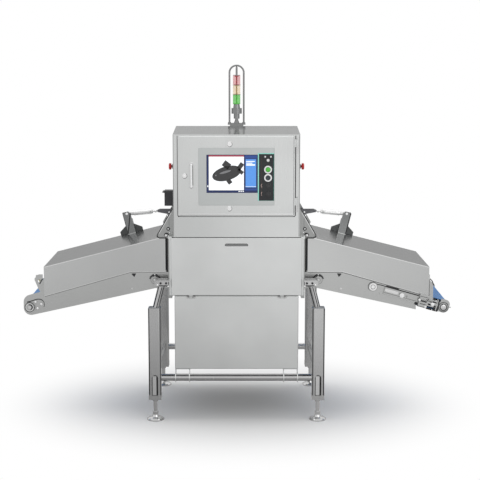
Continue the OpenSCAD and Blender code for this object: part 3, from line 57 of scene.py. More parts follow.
FASCIA = reach("upper_cabinet", LOW, Y)
DOOR_FACE = reach("door_handle", HIGH, Y)
SCREEN_FACE = reach("display_screen", LOW, Y)
SCAN_FACE = SCREEN_FACE - 0.7
HOOD_SIDE = reach("hood_right", HIGH, Y)
PLATE_SIDE = reach("return_roller_right", HIGH, Y)
PLATE_FACE = -PLATE_SIDE
HUB_FACE = PLATE_FACE - 6
BEARING_FACE = reach("side_plate_front", LOW, Y)
ARM_FACE = reach("tail_roller", LOW, Y)
HOUSING_FACE = reach("take_up_guides", LOW, Y)
CHEEK_EDGE = reach("hinge_cheeks", LOW, Y)
CHEEK_FACE = CHEEK_EDGE + 10
HEAD_BAR = 425
POST_FRONT = 252
WING_FRONT = 282

# Places in x and z
START, HALT, DRIVE, TAIL = [(middle(name, X), middle(name, Z)) for name in
                            ("start_button", "halt_button", "drive_drum", "tail_roller")]
LATCHES = {"top_latch": (-40, 1685), "side_latch": (-308, 1497), "bottom_latch": (-42, 1302)}
HUB = (499, 846)
HINGE = (425, 1125)
POST_FOOT = (684, 1052.87)
STRUT_PIN = (715.3, 1182.2)
STRUT_EYE = (509, 1200)
BOSS = (834, 804)
POCKET = (-1211, 693)
LEG_X = middle("foot_rear_right", X)
LEG_Y = middle("foot_rear_right", Y)

BELT_SLOPE = math.radians(15.572)
HOOD_SLOPE = math.radians(14.243)
SIDES = ((1, "right"), (-1, "left"))
BOTH = (1, -1)


# Finishes

PATTERN_LOW, PATTERN_HIGH = 0.3, 0.7


def new_finish(name):
    """Material with its node tree and its shader."""
    finish = bpy.data.materials.new(name)
    finish.use_nodes = True
    tree = finish.node_tree
    return finish, tree, tree.nodes["Principled BSDF"]


def pattern(tree, kind, stretch, scale, detail=3.0):
    """Texture on Object coordinates."""
    place = tree.nodes.new("ShaderNodeTexCoord")
    mapping = tree.nodes.new("ShaderNodeMapping")
    mapping.inputs["Scale"].default_value = stretch
    texture = tree.nodes.new(kind)
    texture.inputs["Scale"].default_value = scale
    if kind == "ShaderNodeTexNoise":
        texture.inputs["Detail"].default_value = detail
    tree.links.new(place.outputs["Object"], mapping.inputs["Vector"])
    tree.links.new(mapping.outputs["Vector"], texture.inputs["Vector"])
    return texture.outputs[0]


def spread(tree, value, low, high):
    """Map the middle of a pattern's range to the range from low to high."""
    ramp = tree.nodes.new("ShaderNodeMapRange")
    ramp.inputs["From Min"].default_value = PATTERN_LOW
    ramp.inputs["From Max"].default_value = PATTERN_HIGH
    ramp.inputs["To Min"].default_value = low
    ramp.inputs["To Max"].default_value = high
    tree.links.new(value, ramp.inputs["Value"])
    return ramp.outputs["Result"]


def tint(tree, value, dark, light):
    """Colour that runs with a pattern from dark to light."""
    ramp = tree.nodes.new("ShaderNodeValToRGB")
    ramp.color_ramp.elements[0].color = (*dark, 1)
    ramp.color_ramp.elements[0].position = PATTERN_LOW
    ramp.color_ramp.elements[1].color = (*light, 1)
    ramp.color_ramp.elements[1].position = PATTERN_HIGH
    tree.links.new(value, ramp.inputs["Fac"])
    return ramp.outputs["Color"]


def relief(tree, shader, value, strength, distance):
    bump = tree.nodes.new("ShaderNodeBump")
    bump.inputs["Strength"].default_value = strength
    bump.inputs["Distance"].default_value = distance
    tree.links.new(value, bump.inputs["Height"])
    tree.links.new(bump.outputs["Normal"], shader.inputs["Normal"])


def steel(name, tone, rough, grain, patch=0.04, brush=0.06):
    """Stainless sheet, brushed along the axis with the small stretch."""
    finish, tree, shader = new_finish(name)
    lines = pattern(tree, "ShaderNodeTexNoise", grain, 1.0, 4.0)
    clouds = pattern(tree, "ShaderNodeTexNoise", (1, 1, 1), 3.5, 2.0)
    dark = [c * (1 - patch) for c in tone]
    light = [min(1.0, c * (1 + patch)) for c in tone]
    tree.links.new(tint(tree, clouds, dark, light), shader.inputs["Base Color"])
    tree.links.new(spread(tree, lines, rough - brush, rough + brush), shader.inputs["Roughness"])
    relief(tree, shader, lines, 0.03, 0.0003)
    shader.inputs["Metallic"].default_value = 1.0
    return finish


def coating(name, dark, light, rough, scale=60.0, depth=0.12, metal=0.0):
    """Paint, plastic or rubber with a fine grain."""
    finish, tree, shader = new_finish(name)
    grain = pattern(tree, "ShaderNodeTexNoise", (1, 1, 1), scale, 3.0)
    clouds = pattern(tree, "ShaderNodeTexNoise", (1, 1, 1), 6.0, 2.0)
    tree.links.new(tint(tree, clouds, dark, light), shader.inputs["Base Color"])
    tree.links.new(spread(tree, grain, rough - 0.06, rough + 0.08), shader.inputs["Roughness"])
    relief(tree, shader, grain, depth, 0.0006)
    shader.inputs["Metallic"].default_value = metal
    return finish


def lens(name, colour, glow, cover):
    """Ribbed clear lamp lens, lit a little by its own lamp; cover is how much it hides."""
    finish, tree, shader = new_finish(name)
    ribs = pattern(tree, "ShaderNodeTexWave", (0, 0, 1), 60.0)
    clouds = pattern(tree, "ShaderNodeTexNoise", (1, 1, 1), 30.0, 2.0)
    dark = [c * 0.75 for c in colour]
    tree.links.new(tint(tree, clouds, dark, colour), shader.inputs["Base Color"])
    relief(tree, shader, ribs, 0.3, 0.001)
    shader.inputs["Roughness"].default_value = 0.22
    shader.inputs["Emission Color"].default_value = (*colour, 1)
    shader.inputs["Emission Strength"].default_value = glow
    shader.inputs["Alpha"].default_value = cover
    return finish


def glowing(name, colour, glow):
    """Lit screen area behind glass, with a fine pixel grid."""
    finish, tree, shader = new_finish(name)
    grid = pattern(tree, "ShaderNodeTexChecker", (1, 1, 1), 900.0).node.outputs["Fac"]
    dark = [c * 0.93 for c in colour]
    tree.links.new(tint(tree, grid, dark, colour), shader.inputs["Base Color"])
    shader.inputs["Roughness"].default_value = 0.18
    shader.inputs["Emission Color"].default_value = (*colour, 1)
    shader.inputs["Emission Strength"].default_value = glow
    return finish


panel_steel = steel("panel_steel", (0.69, 0.70, 0.695), 0.34, (3, 3, 700))
hood_steel = steel("hood_steel", (0.54, 0.545, 0.542), 0.18, (3, 700, 3), 0.02, 0.03)
roof_steel = steel("roof_steel", (0.64, 0.65, 0.645), 0.17, (700, 3, 3), 0.02, 0.03)
cheek_steel = steel("cheek_steel", (0.36, 0.365, 0.36), 0.30, (3, 3, 500), 0.03, 0.04)
tower_steel = steel("tower_steel", (0.25, 0.252, 0.252), 0.24, (200, 200, 3), 0.03, 0.04)
door_steel = steel("door_steel", (0.66, 0.67, 0.665), 0.32, (700, 3, 3))
tube_steel = steel("tube_steel", (0.52, 0.52, 0.52), 0.22, (300, 300, 3))
bright_steel = steel("bright_steel", (0.62, 0.62, 0.62), 0.16, (200, 200, 200), 0.03, 0.04)
side_steel = steel("side_steel", (0.50, 0.505, 0.50), 0.30, (3, 3, 500), 0.02, 0.03)
dark_steel = steel("dark_steel", (0.16, 0.16, 0.17), 0.38, (200, 200, 200))
bezel_steel = steel("bezel_steel", (0.54, 0.56, 0.555), 0.34, (3, 3, 600))
# Black plastic parts, and also painted shade in slots, gaps and under edges
black_plastic = coating("black_plastic", (0.012, 0.012, 0.014), (0.022, 0.022, 0.025), 0.42)
strip_black = coating("strip_black", (0.006, 0.008, 0.010), (0.012, 0.015, 0.018), 0.30, 120, 0.05)
seal_rubber = coating("seal_rubber", (0.015, 0.015, 0.015), (0.030, 0.030, 0.030), 0.70)
belt_blue = coating("belt_blue", (0.045, 0.185, 0.46), (0.065, 0.235, 0.54), 0.48, 260, 0.35)
coat_grey = coating("coat_grey", (0.30, 0.31, 0.32), (0.36, 0.37, 0.38), 0.45)
module_grey = coating("module_grey", (0.55, 0.55, 0.53), (0.64, 0.64, 0.61), 0.50)
stop_red = coating("stop_red", (0.42, 0.008, 0.008), (0.55, 0.012, 0.012), 0.28, 60, 0.03)
button_green = coating("button_green", (0.03, 0.30, 0.06), (0.05, 0.42, 0.09), 0.28, 60, 0.03)
screen_navy = coating("screen_navy", (0.010, 0.022, 0.10), (0.014, 0.030, 0.13), 0.18, 60, 0.02)
lens_green = lens("lens_green", (0.10, 0.62, 0.06), 0.25, 0.62)
lens_amber = lens("lens_amber", (0.90, 0.60, 0.22), 0.20, 0.36)
lens_red = lens("lens_red", (0.74, 0.07, 0.09), 0.20, 0.38)

picture_white = glowing("picture_white", (0.80, 0.82, 0.84), 0.55)
picture_red = glowing("picture_red", (0.42, 0.06, 0.08), 0.25)
picture_sky = glowing("picture_sky", (0.09, 0.28, 0.72), 0.35)
picture_blue = glowing("picture_blue", (0.02, 0.06, 0.26), 0.25)
picture_grey = glowing("picture_grey", (0.040, 0.040, 0.042), 0.10)
picture_pale = glowing("picture_pale", (0.20, 0.20, 0.21), 0.15)
# Painted light: a lit cyan and a shaded teal copy of it, for the two sides of the strip's edge
strip_cyan = coating("strip_cyan", (0.30, 0.78, 0.66), (0.38, 0.88, 0.76), 0.25, 80, 0.03)
strip_teal = coating("strip_teal", (0.004, 0.085, 0.065), (0.006, 0.12, 0.09), 0.25, 80, 0.03)
strip_brown = coating("strip_brown", (0.045, 0.020, 0.018), (0.065, 0.030, 0.026), 0.40)
light_white = coating("light_white", (0.72, 0.72, 0.72), (0.85, 0.85, 0.85), 0.25, 60, 0.03)
mark_pale = coating("mark_pale", (0.55, 0.40, 0.36), (0.68, 0.50, 0.45), 0.40, 60, 0.03)
ring_white = coating("ring_white", (0.84, 0.84, 0.84), (0.92, 0.92, 0.92), 0.20, 60, 0.02)
button_bright = coating("button_bright", (0.04, 0.38, 0.03), (0.10, 0.55, 0.06), 0.22, 60, 0.02)
button_slate = coating("button_slate", (0.015, 0.022, 0.030), (0.030, 0.042, 0.055), 0.25, 60, 0.02)
plug_black = coating("plug_black", (0.020, 0.021, 0.023), (0.034, 0.035, 0.038), 0.35)
# Painted shade: darker steel for the hood posts, the back of the finger slot and the cheek ribs
post_grey = steel("post_grey", (0.235, 0.24, 0.24), 0.24, (3, 400, 3))
# Painted shade on the hood posts' wings; also the dark core inside the tower lamps
wing_dark = steel("wing_dark", (0.085, 0.088, 0.088), 0.26, (3, 400, 3))
# Painted shade and dark reflections in gaps, under edges and along rounded corners; also a few small
# dark parts such as washers and a knob
edge_dark = steel("edge_dark", (0.045, 0.045, 0.047), 0.40, (200, 200, 200))
# Lighter painted shade and dark reflections in grooves, seams and beside fittings
groove_grey = steel("groove_grey", (0.17, 0.17, 0.17), 0.36, (200, 200, 200))
# Strut tubes and light trims, and also painted highlights along the cheeks' edges and the hoods'
# lips
strut_white = steel("strut_white", (0.74, 0.74, 0.74), 0.20, (200, 200, 200), 0.02, 0.03)
sensor_amber = coating("sensor_amber", (0.36, 0.34, 0.20), (0.50, 0.48, 0.30), 0.30, 60, 0.03)
# Polished fittings, and also painted highlights along folds and lips
polished_white = steel("polished_white", (0.88, 0.88, 0.88), 0.14, (200, 200, 200), 0.02, 0.03)

FINISH_OF = {
    panel_steel: ["lower_cabinet", "lower_cover", "tunnel_housing", "access_door",
                  "cabinet_saddles"],
    roof_steel: ["upper_cabinet"],
    cheek_steel: ["hinge_cheeks"],
    tower_steel: ["tower_body", "tower_guard"],
    polished_white: ["latch_top", "latch_side", "latch_bottom", "door_handle"],
    door_steel: ["cabinet_door"],
    hood_steel: ["hood_left", "hood_right"],
    side_steel: ["side_plate_front", "side_plate_rear", "slider_bed", "belt_sensor",
                 "take_up_guides", "take_up_arms"],
    tube_steel: ["leg_frame_left", "leg_frame_right", "cross_tubes"],
    bright_steel: ["hinge_rods", "door_hinge_pins", "access_hinge_pins", "strut_cylinder_left",
                   "strut_cylinder_right", "strut_rod_left", "strut_rod_right", "drive_drum",
                   "tail_roller", "return_roller_left", "return_roller_right",
                   "foot_front_left", "foot_front_right", "foot_rear_left", "foot_rear_right"],
    dark_steel: ["strut_brackets"],
    bezel_steel: ["display_unit"],
    black_plastic: ["stop_collars", "port_box", "port_flap", "halt_button"],
    strip_black: ["button_strip"],
    seal_rubber: ["hood_seals", "door_gasket"],
    belt_blue: ["conveyor_belt"],
    coat_grey: ["xray_generator", "detector"],
    module_grey: ["control_unit"],
    stop_red: ["stop_head_left", "stop_head_right"],
    button_green: ["start_button"],
    screen_navy: ["display_screen"],
    lens_green: ["lamp_green"],
    lens_amber: ["lamp_amber"],
    lens_red: ["lamp_red"],
}

for finish, names in FINISH_OF.items():
    for name in names:
        nodes[name].data.materials.clear()
        nodes[name].data.materials.append(finish)


# Modelling tools

# Turn about X that points a piece's +Z along an axis
AXIS_TURN = {"+z": 0, "-y": 90, "+y": -90}


def mm(*values):
    return tuple(value / 1000 for value in values)


def object_mode():
    if bpy.context.object and bpy.context.object.mode != "OBJECT":
        bpy.ops.object.mode_set(mode="OBJECT")


def fresh():
    """Leave edit mode with nothing selected."""
    object_mode()
    bpy.ops.object.select_all(action="DESELECT")


def edit(mode):
    bpy.ops.object.mode_set(mode="EDIT")
    bpy.ops.mesh.select_mode(type=mode)


def pick_faces(piece, test):
    """Select the faces of the piece whose middle passes the test."""
    mesh = bmesh.from_edit_mesh(piece.data)
    bpy.ops.mesh.select_all(action="DESELECT")
    for face in mesh.faces:
        face.select = test(face.calc_center_median())
    mesh.select_flush_mode()
    bmesh.update_edit_mesh(piece.data)


def outward():
    """Point the faces of the active piece outwards."""
    edit("FACE")
    bpy.ops.mesh.select_all(action="SELECT")
    bpy.ops.mesh.normals_make_consistent(inside=False)
    object_mode()


def settle(piece):
    """Put the place, turn and size of the object into its mesh."""
    fresh()
    piece.select_set(True)
    bpy.context.view_layer.objects.active = piece
    bpy.ops.object.transform_apply(location=True, rotation=True, scale=True)


def finished(piece, name, finish, body, angle=35):
    """Name the piece, give it its finish and slot, and ride it on a body."""
    settle(piece)
    outward()
    bpy.ops.object.shade_smooth_by_angle(angle=math.radians(angle))
    piece.name = name
    piece.data.name = name
    piece.data.materials.clear()
    piece.data.materials.append(finish)
    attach(piece, body)
    return piece


def turned(steps, sides=32):
    """Round or many-sided piece along +Z from (radius, height) steps in mm."""
    fresh()
    radius, height = steps[0]
    bpy.ops.mesh.primitive_circle_add(vertices=sides, radius=radius / 1000, fill_type="NGON",
                                      location=(0, 0, height / 1000))
    piece = bpy.context.object
    settle(piece)
    edit("FACE")
    bpy.ops.mesh.select_all(action="SELECT")
    for wide, high in steps[1:]:
        bpy.ops.mesh.extrude_region_move(
            TRANSFORM_OT_translate={"value": (0, 0, (high - height) / 1000)})
        if wide != radius:
            bpy.ops.transform.resize(value=(wide / radius, wide / radius, 1),
                                     center_override=(0, 0, high / 1000))
        radius, height = wide, high
    object_mode()
    return piece


def block(low, high, edge=0.0, segments=2):
    """Box between two corners in mm, its edges rounded by edge."""
    fresh()
    middle = [(a + b) / 2000 for a, b in zip(low, high)]
    size = [(b - a) / 1000 for a, b in zip(low, high)]
    bpy.ops.mesh.primitive_cube_add(size=1, location=middle, scale=size)
    piece = bpy.context.object
    settle(piece)
    if edge:
        edit("EDGE")
        bpy.ops.mesh.select_all(action="SELECT")
        bpy.ops.mesh.bevel(offset=edge / 1000, segments=segments, affect="EDGES")
        object_mode()
    return piece


def bar(start, end, wide, thick, edge=0.0, up=(0, 1, 0)):
    """Straight flat bar between two points in mm; wide lies along up."""
    piece = block((-wide / 2, -thick / 2, 0), (wide / 2, thick / 2,
                  (Vector(end) - Vector(start)).length), edge)
    along = (Vector(end) - Vector(start)).normalized()
    across = Vector(up).normalized()
    third = along.cross(across).normalized()
    across = third.cross(along).normalized()
    turn = Matrix((across, third, along)).transposed().to_4x4()
    piece.matrix_world = Matrix.Translation(Vector(start) / 1000) @ turn
    settle(piece)
    return piece


def at(piece, place, axis="+z"):
    """Stand a piece at a place in mm with its +Z along an axis."""
    piece.rotation_euler = (math.radians(AXIS_TURN[axis]), 0, 0)
    piece.location = mm(*place)
    return piece


def facing(piece, spot, depth):
    """Stand a piece at a spot in x and z with its +Z to the front."""
    return at(piece, (spot[0], depth, spot[1]), "-y")


def aimed(piece, start, direction):
    """Stand a piece at a place in mm with its +Z along a direction."""
    turn = direction.to_track_quat("Z", "Y").to_matrix().to_4x4()
    piece.matrix_world = Matrix.Translation(start / 1000) @ turn
    settle(piece)
    return piece


def joined(pieces):
    """One piece from several."""
    fresh()
    for piece in pieces:
        piece.select_set(True)
    bpy.context.view_layer.objects.active = pieces[0]
    if len(pieces) > 1:
        bpy.ops.object.join()
    return pieces[0]


def repeated(model, places):
    """Copies of a model at (place, axis) pairs, joined; the model itself goes."""
    copies = []
    for place, axis in places:
        copy = model.copy()
        copy.data = model.data.copy()
        bpy.context.scene.collection.objects.link(copy)
        at(copy, place, axis)
        copies.append(copy)
    bpy.data.objects.remove(model)
    bpy.context.view_layer.update()
    whole = joined(copies)
    settle(whole)
    return whole


def on_front(spots, depth):
    """Places of pieces that face the front, from spots in x and z."""
    return [((x, depth, z), "-y") for x, z in spots]


def between(a, b, edge=0.0, segments=2):
    """Box between two opposite corners in any order."""
    low, high = zip(*(sorted(pair) for pair in zip(a, b)))
    return block(low, high, edge, segments)


def flat(low_x, low_z, high_x, high_z, back, front, edge=0.0):
    """Thin plate that faces the front, between two corners in x and z."""
    return block((low_x, front, low_z), (high_x, back, high_z), edge, 1)


def outline(points, back, front):
    """Flat plate that faces the front, its corners given in x and z."""
    fresh()
    bpy.ops.mesh.primitive_circle_add(vertices=len(points), radius=1, fill_type="NGON")
    piece = bpy.context.object
    edit("FACE")
    corners = bmesh.from_edit_mesh(piece.data)
    corners.verts.ensure_lookup_table()
    for corner, (x, z) in zip(corners.verts, points):
        corner.co = mm(x, back, z)
    bmesh.update_edit_mesh(piece.data)
    bpy.ops.mesh.select_all(action="SELECT")
    bpy.ops.mesh.extrude_region_move(
        TRANSFORM_OT_translate={"value": (0, (front - back) / 1000, 0)})
    object_mode()
    return piece


def line(points, wide, back, front):
    """Narrow strip along a chain of points in x and z."""
    depth = (back + front) / 2
    return joined([bar((a[0], depth, a[1]), (b[0], depth, b[1]), back - front, wide)
                   for a, b in zip(points, points[1:])])


def round_line(centre, radius, start, end, wide, back, front, steps=14):
    """Narrow strip along an arc, its ends given in degrees."""
    turn = [math.radians(start + (end - start) * i / steps) for i in range(steps + 1)]
    return line([(centre[0] + radius * math.cos(a), centre[1] + radius * math.sin(a))
                 for a in turn], wide, back, front)


def ball(radius, flat_z=0.0):
    """Domed cap that stands on z = 0."""
    steps = [(radius, flat_z)] + [(radius * math.cos(math.radians(a)),
                                   flat_z + radius * math.sin(math.radians(a)))
                                  for a in (18, 36, 54, 72, 84)]
    return turned(steps, 20)


def mirrored(points, side):
    return [(side * x, z) for x, z in points]


def sloped(origin, slope, pairs):
    """Points in x and z from pairs along and across a line that falls to the right."""
    return [(origin[0] + u * math.cos(slope) + v * math.sin(slope),
             origin[1] - u * math.sin(slope) + v * math.cos(slope)) for u, v in pairs]


def on_roof(*pairs):
    return sloped(POST_FOOT, HOOD_SLOPE, pairs)


def on_arm(*pairs):
    return sloped(TAIL, BELT_SLOPE, pairs)


# Touch screen picture

def screen_picture():
    """Generic inspection screen: a framed x-ray view beside a column of bars."""
    glass, face = SCREEN_FACE + 0.1, SCREEN_FACE - 0.3
    left, right = reach("display_screen", LOW, X) + 1, reach("display_screen", HIGH, X) - 1
    low, high = reach("display_screen", LOW, Z) + 0.6, reach("display_screen", HIGH, Z) - 0.6
    field_right = 44.0
    column = field_right + 10
    finished(flat(left + 1, low + 1, right - 1, high - 1, glass, face), "screen_frame",
             screen_navy, "door")
    for name, finish, *corners in (
            ("screen_field", picture_white, left + 13, low + 15, field_right, high - 11),
            ("screen_band", picture_red, left + 13, high - 11, field_right, high - 3),
            ("screen_column", picture_sky, column, low + 32, right - 9, high - 26)):
        finished(flat(*corners, face + 0.2, face - 0.1), name, finish, "door")
    rows = [flat(column + 4, z, column + wide, z + tall, face, face - 0.2)
            for z, wide, tall in ((high - 42, 54, 5), (high - 52, 40, 5), (high - 64, 56, 8))]
    rows.append(flat(column, low + 36, right - 9, low + 38, face, face - 0.2))
    rows += [flat(field_right - x, low + 5, field_right - x + 8, low + 11, face + 0.2, face - 0.1)
             for x in (8, 20, 32)]
    rows.append(flat(left + 4, low + 34, left + 10, low + 44, face + 0.2, face - 0.1))
    finished(joined(rows), "screen_rows", picture_white, "door")
    heads = [flat(field_right + 6, bottom, right - 4, top, face + 0.2, face - 0.1)
             for bottom, top in ((high - 22, high - 4), (low + 14, low + 26))]
    finished(joined(heads), "screen_heads", picture_blue, "door")


def oval(x, z, wide, tall, tilt, depth, sides=48):
    """Flat oval in the x-ray view."""
    fresh()
    bpy.ops.mesh.primitive_cylinder_add(vertices=sides, radius=1, depth=1)
    piece = bpy.context.object
    piece.scale = mm(wide / 2, tall / 2, depth)
    settle(piece)
    piece.rotation_euler = (math.radians(90), math.radians(tilt), 0)
    piece.location = mm(x, SCAN_FACE, z)
    settle(piece)
    return piece


def fish_scan():
    """Grey silhouette of a whole fish in the x-ray view, with its swim bladder and fins."""
    tilt = -16
    pieces = [oval(-58, 1512, 176, 84, tilt, 0.4)]
    tail_fins = ((8, 1534, 36, 1572, 26), (8, 1534, 38, 1512, 22))
    body_fins = ((-70, 1548, -48, 1578, 44), (-50, 1474, -34, 1452, 26))
    for x, z, end_x, end_z, thick in tail_fins + body_fins:
        pieces.append(bar((x, SCAN_FACE, z), (end_x, SCAN_FACE, end_z), 0.4, thick))
    finished(joined(pieces), "screen_fish", picture_grey, "door")
    finished(joined([oval(-66, 1520, 70, 13, tilt, 0.7, 32), oval(-122, 1500, 9, 9, 0, 0.7, 16)]),
             "screen_fish_light", picture_pale, "door")


# Operator panel

def strip_edges():
    """Coloured edge of the button strip's overlay: a painted highlight in light cyan on its left and
    top side, and painted shade in dark teal on its right and bottom side.
    """
    left, right, low, high = 126.6, 223.2, 1349.0, 1632.0
    back, front = SCREEN_FACE - 0.4, DOOR_FACE - 1.2
    finished(joined([flat(left, low, left + 6.5, high, back, front, 0.6),
                     flat(left + 6.5, high - 5, right, high, back, front, 0.6)]),
             "strip_edge_light", strip_cyan, "door")
    finished(joined([flat(right - 4.5, low, right, high - 5, back, front, 0.6),
                     flat(left + 6.5, low, right - 4.5, low + 3.5, back, front, 0.6)]),
             "strip_edge_dark", strip_teal, "door")
    seam = 148.2
    finished(flat(seam, low + 5, seam + 1.4, high - 6, DOOR_FACE + 0.2, DOOR_FACE - 0.3),
             "strip_seam", strip_brown, "door")


def strip_lights():
    """Signal lights and marks on the strip."""
    face = DOOR_FACE + 0.2
    small = turned([(5.2, 0), (5.2, 1.4), (4.0, 2.0), (2.0, 2.2)], 20)
    large = turned([(8.6, 0), (8.6, 1.6), (6.6, 2.4), (3.0, 2.6)], 24)
    pair = [(START[0] + x, 1611) for x in (-17, 17)]
    finished(joined([repeated(small, on_front(pair, face)),
                     repeated(large, on_front([(START[0], 1590)], face))]),
             "strip_lights", light_white, "door", 50)
    inner, outer, depth = 147.5, 151.0, DOOR_FACE - 0.2
    marks = []
    for z in (1439, 1391):
        for start, end in (((outer, 11), (inner, 4)), ((inner, 4.6), (inner, -4.6)),
                           ((inner, -4), (outer, -11))):
            marks.append(bar((start[0], depth, z + start[1]), (end[0], depth, z + end[1]),
                             0.6, 2.4))
    finished(joined(marks), "strip_marks", mark_pale, "door")


def panel_buttons():
    """Rings and faces of the two push-buttons, and the plugs of the two spare holes."""
    ring = turned([(23.2, 0), (23.2, 4.6), (22.2, 6.2), (18.6, 7.0), (15.6, 6.4), (15.2, 4.2),
                   (15.0, 0.2)], 48)
    finished(repeated(ring, on_front((START, HALT), DOOR_FACE)), "button_rings", ring_white,
             "door", 50)
    face = reach("start_button", LOW, Y) + 0.1
    dome = turned([(12.6, 0), (12.6, 0.6), (10.6, 1.5), (7.0, 2.1), (3.0, 2.4)], 36)
    finished(facing(dome, START, face), "start_face", button_bright, "start", 60)
    dome = turned([(12.6, 0), (12.6, 0.6), (10.0, 1.3), (8.6, 0.7), (4.0, 0.5), (3.6, 1.5),
                   (2.0, 1.8)], 36)
    finished(facing(dome, HALT, face), "halt_face", button_slate, "halt", 60)
    holes = ((190, 1438), (190, 1387))
    plug = turned([(16.8, 0), (16.8, 1.6), (15.6, 2.6), (12.4, 2.6), (11.6, 1.6), (10.6, 1.6)], 40)
    cap = turned([(9.6, 0), (9.6, 3.4), (8.4, 4.4), (3.0, 4.6)], 6)
    finished(joined([repeated(plug, on_front(holes, DOOR_FACE - 2.2)),
                     repeated(cap, on_front(holes, DOOR_FACE - 3))]),
             "plug_heads", plug_black, "door", 40)


def door_fittings():
    """Rings and keys of the latches, painted shadows beside the latches and the handle, and the
    flanges of the handle.
    """
    ring = turned([(14.6, 0), (14.6, 1.4), (13.2, 2.8), (11.6, 2.8), (11.3, 0.4)], 36)
    spots = LATCHES.values()
    finished(repeated(ring, on_front(spots, DOOR_FACE)), "latch_rings", strut_white, "door", 40)
    finished(joined([round_line(spot, 15.4, -120, 50, 2.4, DOOR_FACE, DOOR_FACE - 0.8)
                     for spot in spots]), "latch_shades", groove_grey, "door")
    handle_x = middle("door_handle", X)
    low = reach("door_handle", LOW, Z) + 5.5
    high = reach("door_handle", HIGH, Z) - 5.5
    finished(line([(handle_x + 8.5, low + 4), (handle_x + 8.5, high - 4)], 3.4, DOOR_FACE,
                  DOOR_FACE - 0.7), "handle_shade", groove_grey, "door")
    for body, spot in LATCHES.items():
        key = turned([(6.4, 0), (6.4, 1.0), (5.2, 2.2), (1.4, 2.4)], 3)
        finished(facing(key, spot, DOOR_FACE - 3.9), body + "_key", polished_white, body, 40)
    flange = turned([(11, 0), (11, 1.6), (9.6, 3.0), (6.4, 3.2)], 32)
    finished(repeated(flange, on_front([(handle_x, low), (handle_x, high)], DOOR_FACE)),
             "handle_flanges", bright_steel, "door", 40)


# Hinges, struts and posts of the hoods

def hood_posts():
    """Darker plates over the post and its two wings as painted shade, painted shade lines along the
    post's edges, a dark line along the wings' foot, and the nuts of the strut pin.
    """
    for side, word in SIDES:
        body = word + "_hood"
        face = on_roof((-25.4, 2), (25.4, 2), (25.4, 142), (22.6, 145), (-13, 145), (-25.4, 132))
        finished(outline(mirrored(face, side), POST_FRONT + 0.2, POST_FRONT - 0.6),
                 "post_face_" + word, post_grey, body)
        rim = on_roof((24, 2), (24, 141.5), (21.5, 144), (-12.5, 144), (-24, 131.5))
        shade = [rim[4], rim[0]] if side < 0 else rim[:2]
        finished(joined([line(mirrored(rim[:4], side), 3.2, POST_FRONT - 0.1, POST_FRONT - 1.1),
                         line(mirrored(shade, side), 7, POST_FRONT - 0.1, POST_FRONT - 1.2)]),
                 "post_rim_" + word, edge_dark, body)
        wings = []
        for way in (-1, 1):
            wing = on_roof(*((way * u, v) for u, v in ((25, 2), (74.6, 2), (74.6, 23.6),
                                                       (25, 57.6))))
            wings.append(outline(mirrored(wing, side), WING_FRONT + 0.2, WING_FRONT - 0.5))
        finished(joined(wings), "post_wings_" + word, wing_dark, body)
        foot = mirrored(on_roof((-74, 1.6), (74, 1.6)), side)
        finished(line(foot, 2.6, WING_FRONT - 0.2, WING_FRONT - 1.8), "wing_weld_" + word,
                 edge_dark, body)
        nut = turned([(9.5, 0), (9.5, 5), (8, 6.5), (4, 6.5), (4, 9), (2.5, 10)], 6)
        finished(facing(nut, (side * STRUT_PIN[0], STRUT_PIN[1]), POST_FRONT - 0.4),
                 "pin_nut_" + word, polished_white, body, 30)


def strut_sleeves():
    """Open outer tube of each gas strut with its end collars, and the ball joint's cover."""
    depth = middle("strut_rod_right", Y)
    from_pin, length, wall, from_eye = 47, 112, 2.2, 12
    for side, word in SIDES:
        pin = Vector((side * STRUT_PIN[0], depth, STRUT_PIN[1]))
        eye = Vector((side * STRUT_EYE[0], depth, STRUT_EYE[1]))
        along = (eye - pin).normalized()
        tube = turned([(16.2, 0), (16.6, 1.5), (16.6, 8), (15.6, 9), (15.6, length - 18),
                       (16.6, length - 17), (16.6, length - 2), (15.4, length)], 32)
        outward()
        edit("FACE")
        pick_faces(tube, lambda centre: centre.xy.length < 1e-5)
        bpy.ops.mesh.delete(type="FACE")
        object_mode()
        shell = tube.modifiers.new("shell", "SOLIDIFY")
        shell.thickness = wall / 1000
        shell.offset = -1
        bpy.ops.object.modifier_apply(modifier=shell.name)
        finished(aimed(tube, pin + along * from_pin, along), "strut_sleeve_" + word,
                 strut_white, word + "_cylinder")
        joint = turned([(4.9, 0), (8.6, 1.5), (9.8, 5), (9.8, 9), (8.2, 12.5), (5.6, 14.5),
                        (5.2, 18)], 24)
        finished(aimed(joint, eye - along * from_eye, -along), "strut_joint_" + word,
                 polished_white, word + "_rod")


